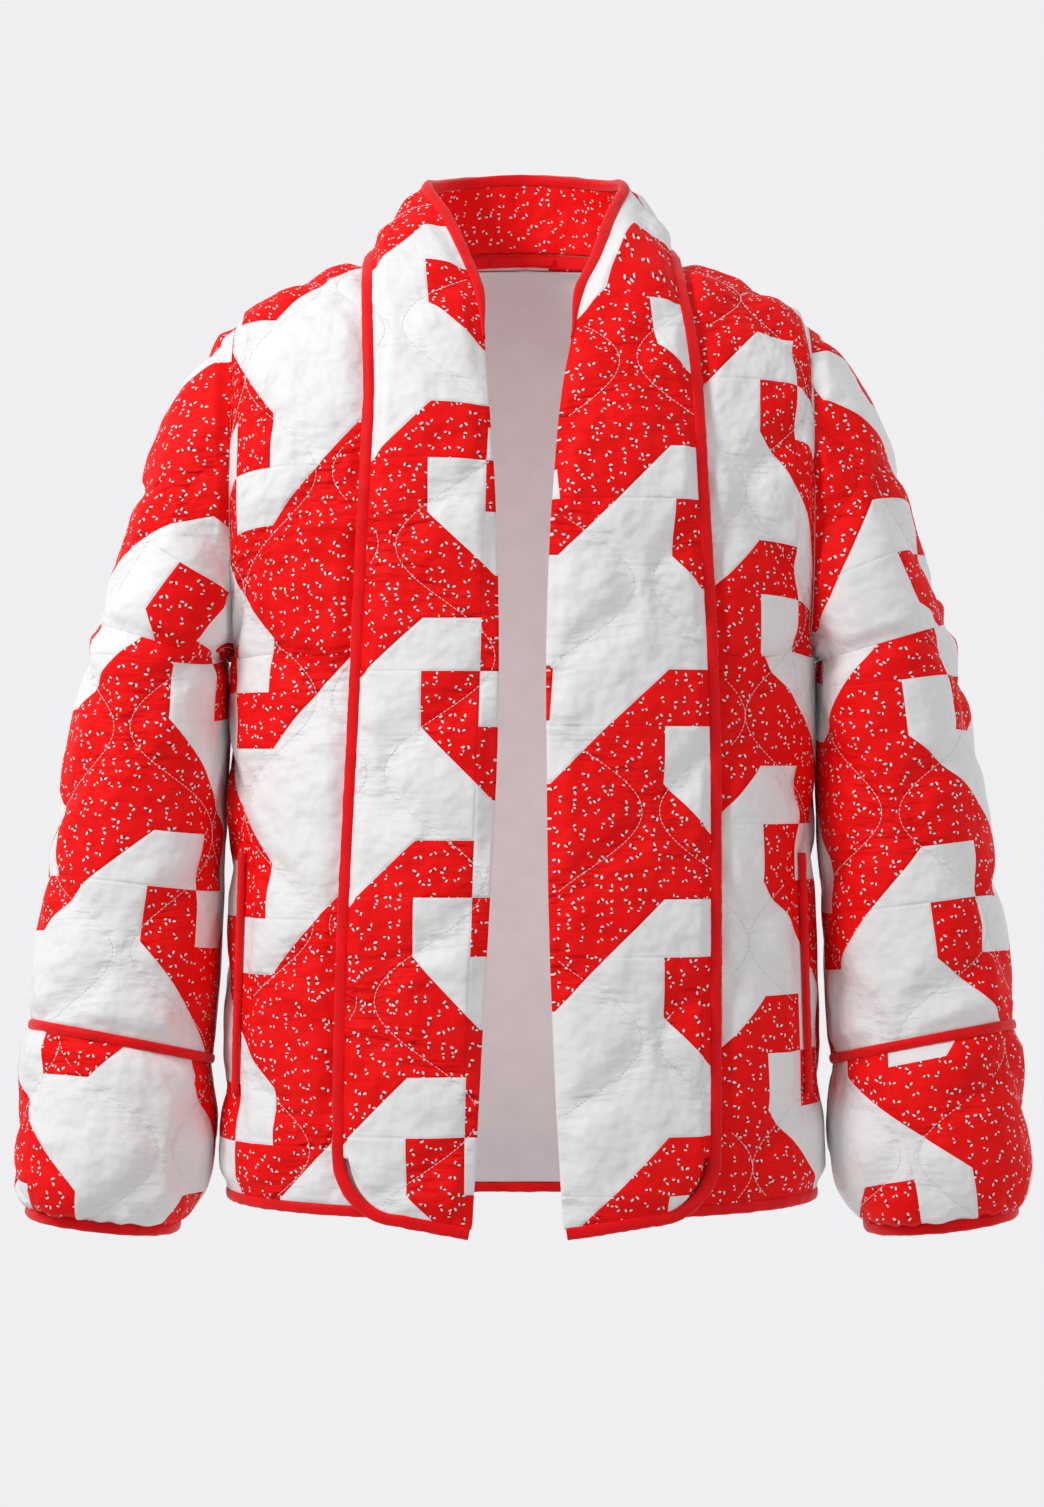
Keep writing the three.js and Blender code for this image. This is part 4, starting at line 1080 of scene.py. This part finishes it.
# Where the patchwork blocks and the quilting's necks fall on each piece, in millimetres of its cloth.
# A block corner lies at place; odd is 1 where the block below and to the right of it has a white
# middle. turn is clockwise in degrees. The shifts correct a and b, in patches, at heights b.
PATCHES = {
    "front_right": {"place": (-216.5, -147), "odd": 0, "b": [0, 8, 12],
                    "da": [0, 0, -0.3], "db": [0.05, 0, 0]},
    "front_left": {"place": (204.5, -89), "odd": 0, "b": [0, 4, 8, 12],
                   "da": [0] * 4, "db": [0.1, 0.3, 0.15, 0.1]},
    "back": {"place": (0, -76), "odd": 0},
    "band_right": {"place": (86, -145), "odd": 1, "b": [0, 4, 8, 12],
                   "da": [0.12, 0.02, -0.04, 0], "db": [0.05, 0.36, 0.38, 0.17]},
    "band_left": {"place": (-22, -170), "odd": 0, "b": [-6.4, -4, 0, 4, 8, 12],
                  "da": [0.6, 0.3, 0.13, 0.55, 0.58, 0.46], "db": [1.2, -0.3, 0, 0.02, -0.02, -0.2]},
    "sleeve_upper_right": {"place": (-200, -232), "odd": 0, "turn": 34},
    "sleeve_upper_left": {"place": (149, -251), "odd": 1, "turn": -25},
    "sleeve_lower_right": {"place": (-217, -434), "odd": 0, "turn": 7},
    "sleeve_lower_left": {"place": (314, -436), "odd": 0, "turn": -7.5},
    "cuff_right": {"place": (-329, -518), "odd": 1, "turn": 5},
    "cuff_left": {"place": (242, -516), "odd": 0, "turn": -12},
}
QUILTS = {
    "front_right": (-136, -150),
    "front_left": (80, -238),
    "back": (0, -220),
    "band_right": (18, -200),
    "band_left": (46, -226),
    "collar_back": (30, 40),
    "sleeve_upper_right": (-236, -170),
    "sleeve_upper_left": (236, -150),
    "sleeve_lower_right": (-272, -322),
    "sleeve_lower_left": (250, -380),
    "cuff_right": (-240, -610),
    "cuff_left": (262, -612),
}
COLLAR_AT = (2, 0.5)  # the collar's middle in patches, and the height of its print inside
COLLAR_INSIDE = 1.4
SEEDS = {"front": 11, "back": 21, "lining": 31, "band": 41, "collar": 47, "sleeve": 51}


def patch_uv(name, s, t):
    """Patchwork coordinates in patches, a across and b down, of cloth places s across and t up."""
    at = PATCHES[name]
    turn = math.radians(at.get("turn", 0))
    across, down = (s - at["place"][0]) / UNIT, (at["place"][1] - t) / UNIT
    a = across * math.cos(turn) + down * math.sin(turn)
    b = down * math.cos(turn) - across * math.sin(turn)
    if "b" in at:
        a, b = a + np.interp(b, at["b"], at["da"]), b + np.interp(b, at["b"], at["db"])
    return a + BLOCK * at["odd"], b


def body_arc(face, x):
    """Distance along the cloth from the middle of the front or back to x, at chest height."""
    steps = np.linspace(0, ARM_X, 400)
    depth = body_depth(face, steps, np.full(len(steps), float(ARMPIT_Z)))
    return np.interp(np.abs(x), steps, path_length(np.stack([steps, depth], axis=1)))


def body_cloth(face, cloth):
    x = cloth.base[..., 0]
    share = np.abs(x) / half_width(cloth.base[..., 2])
    return np.sign(x) * body_arc(face, share * ARM_X), cloth.base[:1, :, 2] + cloth.up


def front_keep(cloth, side):
    """How much padding each place of a front keeps: none under its band or along its pocket."""
    x, z = np.abs(cloth.base[..., 0]), cloth.base[..., 2]
    open_part = smooth((x - seam_x(side, z) - BINDING_WIDE / 2 + 1) / EDGE_FADE)
    beside = np.abs(half_width(z) - POCKET_INSET - x)
    low, top = POCKET_LOW - POCKET_FADE, POCKET_TOP + POCKET_FADE
    in_pocket = smooth((z - low) / POCKET_FADE) * smooth((top - z) / POCKET_FADE)
    return open_part * lerp(1, smooth((beside - POCKET_FLAT) / EDGE_FADE), in_pocket)


def add_fronts():
    for side in (-1, 1):
        name = "front" + tail(side)
        cloth = Cloth(name, front_panel(side), (150, 640), sign=side, eased=True)
        s, t = body_cloth(FRONT, cloth)
        cloth.quilt(s, t, QUILTS[name], SEEDS["front"] + side, front_keep(cloth, side))
        finish_patchwork(name, cloth, s, t)


# The inside of the back: the fold of the lining's middle seam, and how its cloth hangs in folds
LINING_SEAM = {"deep": 1.4, "wide": 3.6}
LINING_HANG = {"high": 1.8, "most": 0.5, "tall": 0.45, "waves": (160, 40), "edge": 25}


def add_back():
    cloth = Cloth("back", back_panel, (560, 650), sign=-1, eased=True)
    s, t = body_cloth(BACK, cloth)
    cloth.quilt(s, t, QUILTS["back"], SEEDS["back"])
    finish_patchwork("back", cloth, -s, t)

    def inside(u, v):
        p = back_panel(u, v)
        return p - body_normal(BACK, p[..., 0], p[..., 2]) * (WALL + LINING_GAP)

    lining = Cloth("lining_back", inside, (420, 500), sign=-1, wall=LINING_WALL)
    s = lining.across - lining.across[:, lining.across.shape[1] // 2][:, None]
    t = HEM[BACK] + lining.up
    seam = -LINING_SEAM["deep"] * np.exp(-((s / LINING_SEAM["wide"]) ** 2))
    folds = waves(s, t * LINING_HANG["tall"], SEEDS["lining"], *LINING_HANG["waves"])
    hang = LINING_HANG["high"] * folds * smooth(lining.edge / LINING_HANG["edge"])
    lining.rise = -(seam + np.minimum(LINING_HANG["most"], hang))
    lining.patch(s / UNIT, t / UNIT)
    finish_cloth(lining, lining.build([LINING, LINING], RIM / 2), "lining_back", False)


def add_bands():
    for side in (-1, 1):
        name = "band" + tail(side)
        cloth = Cloth(name, band_panel(side), (100, 780), wall=BAND_WALL)
        s, t = band_cloth(side, cloth)
        cloth.quilt(s, t, QUILTS[name], SEEDS["band"] + side)
        if side > 0:
            s = 2 * PATCHES[name]["place"][0] - s
        finish_patchwork(name, cloth, s, t, PRINT, BAND_WALL / 2)
    cloth = Cloth("collar_back", collar_panel, (270, 62), sign=-1, wall=BAND_WALL)
    cloth.quilt(cloth.across, cloth.up, QUILTS["collar_back"], SEEDS["collar"])
    out = (cloth.across - cloth.across[:, -1:] / 2) / UNIT
    up = cloth.up / UNIT
    inside = np.stack([COLLAR_AT[0] + out, COLLAR_INSIDE + up], axis=-1)
    cloth.patch(COLLAR_AT[0] - out, COLLAR_AT[1] - up)
    piece = cloth.build([PATCHWORK, PRINT], BAND_WALL / 2, inside)
    finish_cloth(cloth, piece, "collar_back")


def unrolled(cloth):
    """The sleeve's cloth laid flat about the middle of its front: s across and t up, as seen there."""
    cols = cloth.across.shape[1] - 1
    front = cloth.base[:, cols // 4][:, None]
    out = unit((cloth.base[:, cols // 2] - cloth.base[:, 0]) * (1, 0, 1))[:, None]
    round_it = cloth.across - cloth.across[:, cols // 4][:, None]
    return front[..., 0] + round_it * out[..., 0], front[..., 2] + round_it * out[..., 2]


UNDERARM = {"padding": 0.3, "reach": 0.16}
CUFF_TUCKS = {"count": 22, "height": 2.3, "from": 0.5, "grow": 1.5, "wander": ((1.6, 5), (0.9, 3)),
              "low": 0.5, "end": 0.07}


def add_sleeves():
    panels = {
        "sleeve_upper": ((fan_ring, UPPER, -SEAM_GAP, 1), (480, 200)),
        "sleeve_lower": ((table_ring, LOWER, SEAM_GAP, 0), (470, 305)),
        "cuff": ((table_ring, CUFF_ROWS, 0, 0), (470, 120)),
    }
    for side in (-1, 1):
        for k, (stem, (rings, size)) in enumerate(panels.items()):
            name = stem + tail(side)
            cloth = Cloth(name, sleeve_panel(side, *rings), size, True, -side)
            s, t = unrolled(cloth)
            from_seam = smooth((0.5 - np.abs(cloth.u - 0.5)) / UNDERARM["reach"])
            keep = lerp(UNDERARM["padding"], 1, from_seam)
            cloth.quilt(s, t, QUILTS[name], SEEDS["sleeve"] + 10 * k + side, keep)
            if stem == "cuff":
                cloth.rise = cloth.rise + tucks(cloth, side)
            finish_patchwork(name, cloth, s, t)


def tucks(cloth, side):
    """Small uneven tucks where the cuff is gathered into its binding."""
    at = CUFF_TUCKS
    around = cloth.u * 2 * math.pi
    (far, many), (near, few) = at["wander"]
    wander = far * np.sin(around * many + side) + near * np.sin(around * few)
    wave = np.sin(around * at["count"] + wander) * 0.5 + 0.5
    grow = smooth((cloth.v - at["from"]) / (1 - at["from"])) ** at["grow"]
    lowered = lerp(1, at["low"], smooth((cloth.v - 1 + at["end"]) / at["end"]))
    return at["height"] * grow * wave * lowered


# How many points each binding is swept along
POINTS = {"corner": 60, "band": 240, "hem": 60, "pocket": 56, "ring": 140, "hem_back": 200,
          "neck": 90, "collar": 190, "tape": 80, "loop": 24}
CORNER_SHARE = 0.47
HEM_END = BODY["half_width"][0] - 0.4
END_CLEAR = 0.05


def add_bindings():
    def strip(name, points, normals, wide, thick, closed=False):
        piece = swept(name + "_trim", points, normals, wide, thick, closed, len(name))
        finish_piece(piece, name)

    def on_band(k, w, deeper=0.0):
        normal = band_normal(k, np.clip(w, END_CLEAR, LAST_STATION - END_CLEAR))
        return band_point(k, w) - normal * (BAND_WALL / 2 + deeper), normal

    def body_strip(name, face, x, z, trim):
        p = on_body(face, x, z, trim["offset"])
        strip(name, p, body_normal(face, x, z), trim["wide"], trim["thick"])

    def ring_strip(name, side, ring, wide):
        ring = shift_ring(ring, wide / 2 + SEAM_GAP)
        turn = np.arange(POINTS["ring"]) / POINTS["ring"] * 2 * math.pi
        under, front, outer, back = (ring_point(side, ring, k * math.pi / 2) for k in range(4))
        p = ring_point(side, ring, turn)
        ahead = ring_point(side, ring, turn + 1e-3) - p
        normal = unit(np.cross(ahead, np.cross(outer - under, back - front)))
        facing = np.sum(normal * (p - (under + outer) / 2), axis=1, keepdims=True)
        normal = normal * np.sign(facing)
        strip(name + tail(side), p - normal * (WALL / 2), normal, wide, BINDING_THICK, True)

    for side in (-1, 1):
        t = np.linspace(0, 1, POINTS["corner"])
        round_corner = CORNER_SHARE * (1 - np.sin(np.maximum(0, t - 0.5) * math.pi))
        k = np.where(t < 0.5, lerp(1, CORNER_SHARE, t * 2), round_corner)
        start = length_at(band_low_station(side, np.float64(0), 0))
        rise = np.linspace(start, shoulder_length(side, SEAM_GAP), POINTS["band"])[1:]
        w = np.concatenate([band_low_station(side, k, 0), station_at(rise)])
        p, normal = on_band(np.concatenate([k, 0 * rise]), w)
        strip("binding_band" + tail(side), p, normal, BINDING_WIDE + BINDING_PLUMP, BINDING_THICK)

        first = seam_x(side, np.float64(HEM[FRONT])) - UNDERLAP + 1
        x = lerp(first, HEM_END, np.sin(np.linspace(0, 1, POINTS["hem"]) * math.pi / 2))
        z = hem_z(FRONT, x) + BINDING_WIDE / 2
        body_strip("binding_hem_front" + tail(side), FRONT, side * x, z, HEM_BINDING)

        z = np.linspace(POCKET_LOW, POCKET_TOP, POINTS["pocket"])
        x = side * (half_width(z) - POCKET_INSET)
        body_strip("binding_pocket" + tail(side), FRONT, x, z, POCKET_BINDING)

        ring_strip("binding_cuff", side, SLEEVE_END, CUFF_BINDING_WIDE)
        ring_strip("binding_wrist", side, CUFF_END, BINDING_WIDE)

    x = back_column_x(np.linspace(0, 1, POINTS["hem_back"]), HEM_END)
    body_strip("binding_hem_back", BACK, x, hem_z(BACK, x) + BINDING_WIDE / 2, HEM_BINDING)

    ends = [shoulder_length(side, -SEAM_GAP) for side in (-1, 1)]
    p, normal = on_band(0.0, station_at(np.linspace(*ends, POINTS["neck"])))
    strip("binding_neck", p, normal, NECK_BINDING["wide"], NECK_BINDING["thick"])

    first = len(BAND["z"])
    t = np.linspace(0, 1, POINTS["collar"])
    w = station_at(lerp(length_at(first), length_at(LAST_STATION - first), t))
    grow = smooth(np.minimum(t, 1 - t) / EDGE_BINDING["taper"])
    wide = lerp(EDGE_BINDING["end_share"], 1, grow) * EDGE_BINDING["wide"]
    p, normal = on_band(1.0, w)
    over = unit(band_point(1.0, w) - band_point(0.96, w))
    p = p + over * (wide / 2 + SEAM_GAP)[:, None]
    strip("binding_collar", p, normal, wide, EDGE_BINDING["thick"])

    low = SHOULDER_STATION + TAPE["inset"]
    depth = BAND_WALL / 2 + TAPE["gap"] + TAPE["thick"] / 2
    p, normal = on_band(TAPE["share"], np.linspace(low, LAST_STATION - low, POINTS["tape"]), depth)
    strip("neck_tape", p, normal, TAPE["wide"], TAPE["thick"])
    w = LAST_STATION / 2 + np.linspace(-LOOP["reach"], LOOP["reach"], POINTS["loop"])
    depth += TAPE["thick"] / 2 + SEAM_GAP + LOOP["thick"] / 2
    p, normal = on_band(TAPE["share"], w, depth)
    strip("hanger_loop", p, normal, LOOP["wide"], LOOP["thick"])


# Light and camera
CAMERA_DISTANCE = 2.6
CAMERA_HEIGHT = -0.340
LENS_PIXELS = 3714
PHOTO_HEIGHT = 1507
SKY = (0.985, 0.985, 1.0, 1)
WORLD_FALL = (-0.9, 0.9, 0.42, 0.88)  # the world's light from behind the camera and from ahead


def add_light(name, place, size, power, aim=(0, 0, -0.33)):
    data = bpy.data.lights.new(name, "AREA")
    data.shape = "RECTANGLE"
    data.size, data.size_y = size
    data.energy = power
    light = bpy.data.objects.new(name, data)
    light.location = place
    direction = np.array(aim) - np.array(place)
    yaw = math.atan2(-direction[0], direction[1])
    pitch = math.atan2(direction[2], math.hypot(direction[0], direction[1]))
    light.rotation_euler = (math.pi / 2 + pitch, 0, yaw)
    bpy.context.scene.collection.objects.link(light)


def add_camera():
    data = bpy.data.cameras.new("camera")
    data.sensor_fit = "VERTICAL"
    data.sensor_height = 36
    data.lens = LENS_PIXELS / PHOTO_HEIGHT * data.sensor_height
    data.clip_end = 50
    camera = bpy.data.objects.new("camera", data)
    camera.location = (0, -CAMERA_DISTANCE, CAMERA_HEIGHT)
    camera.rotation_euler = (math.pi / 2, 0, 0)
    bpy.context.scene.collection.objects.link(camera)
    bpy.context.scene.camera = camera


def add_world():
    world = bpy.data.worlds.new("studio")
    bpy.context.scene.world = world
    world.use_nodes = True
    tree = world.node_tree
    sky = tree.nodes["Background"]
    direction = tree.nodes.new("ShaderNodeTexCoord")
    parts = tree.nodes.new("ShaderNodeSeparateXYZ")
    tree.links.new(direction.outputs["Generated"], parts.inputs[0])
    fall = tree.nodes.new("ShaderNodeMapRange")
    for socket, value in zip(fall.inputs[1:5], WORLD_FALL):
        socket.default_value = value
    tree.links.new(parts.outputs["Y"], fall.inputs[0])
    tree.links.new(fall.outputs[0], sky.inputs["Strength"])
    sky.inputs["Color"].default_value = SKY
    bpy.context.scene.view_settings.view_transform = "Standard"


add_camera()
add_world()
add_light("key", (-1.8, -1.4, 1.1), (0.7, 0.7), 38)
add_light("fill", (1.6, -2.2, -0.2), (1.6, 1.6), 7)
add_light("inside", (0, -0.06, -0.34), (0.24, 0.6), 0.36, (0, 1, -0.34))
add_fronts()
add_back()
add_bands()
add_sleeves()
add_bindings()
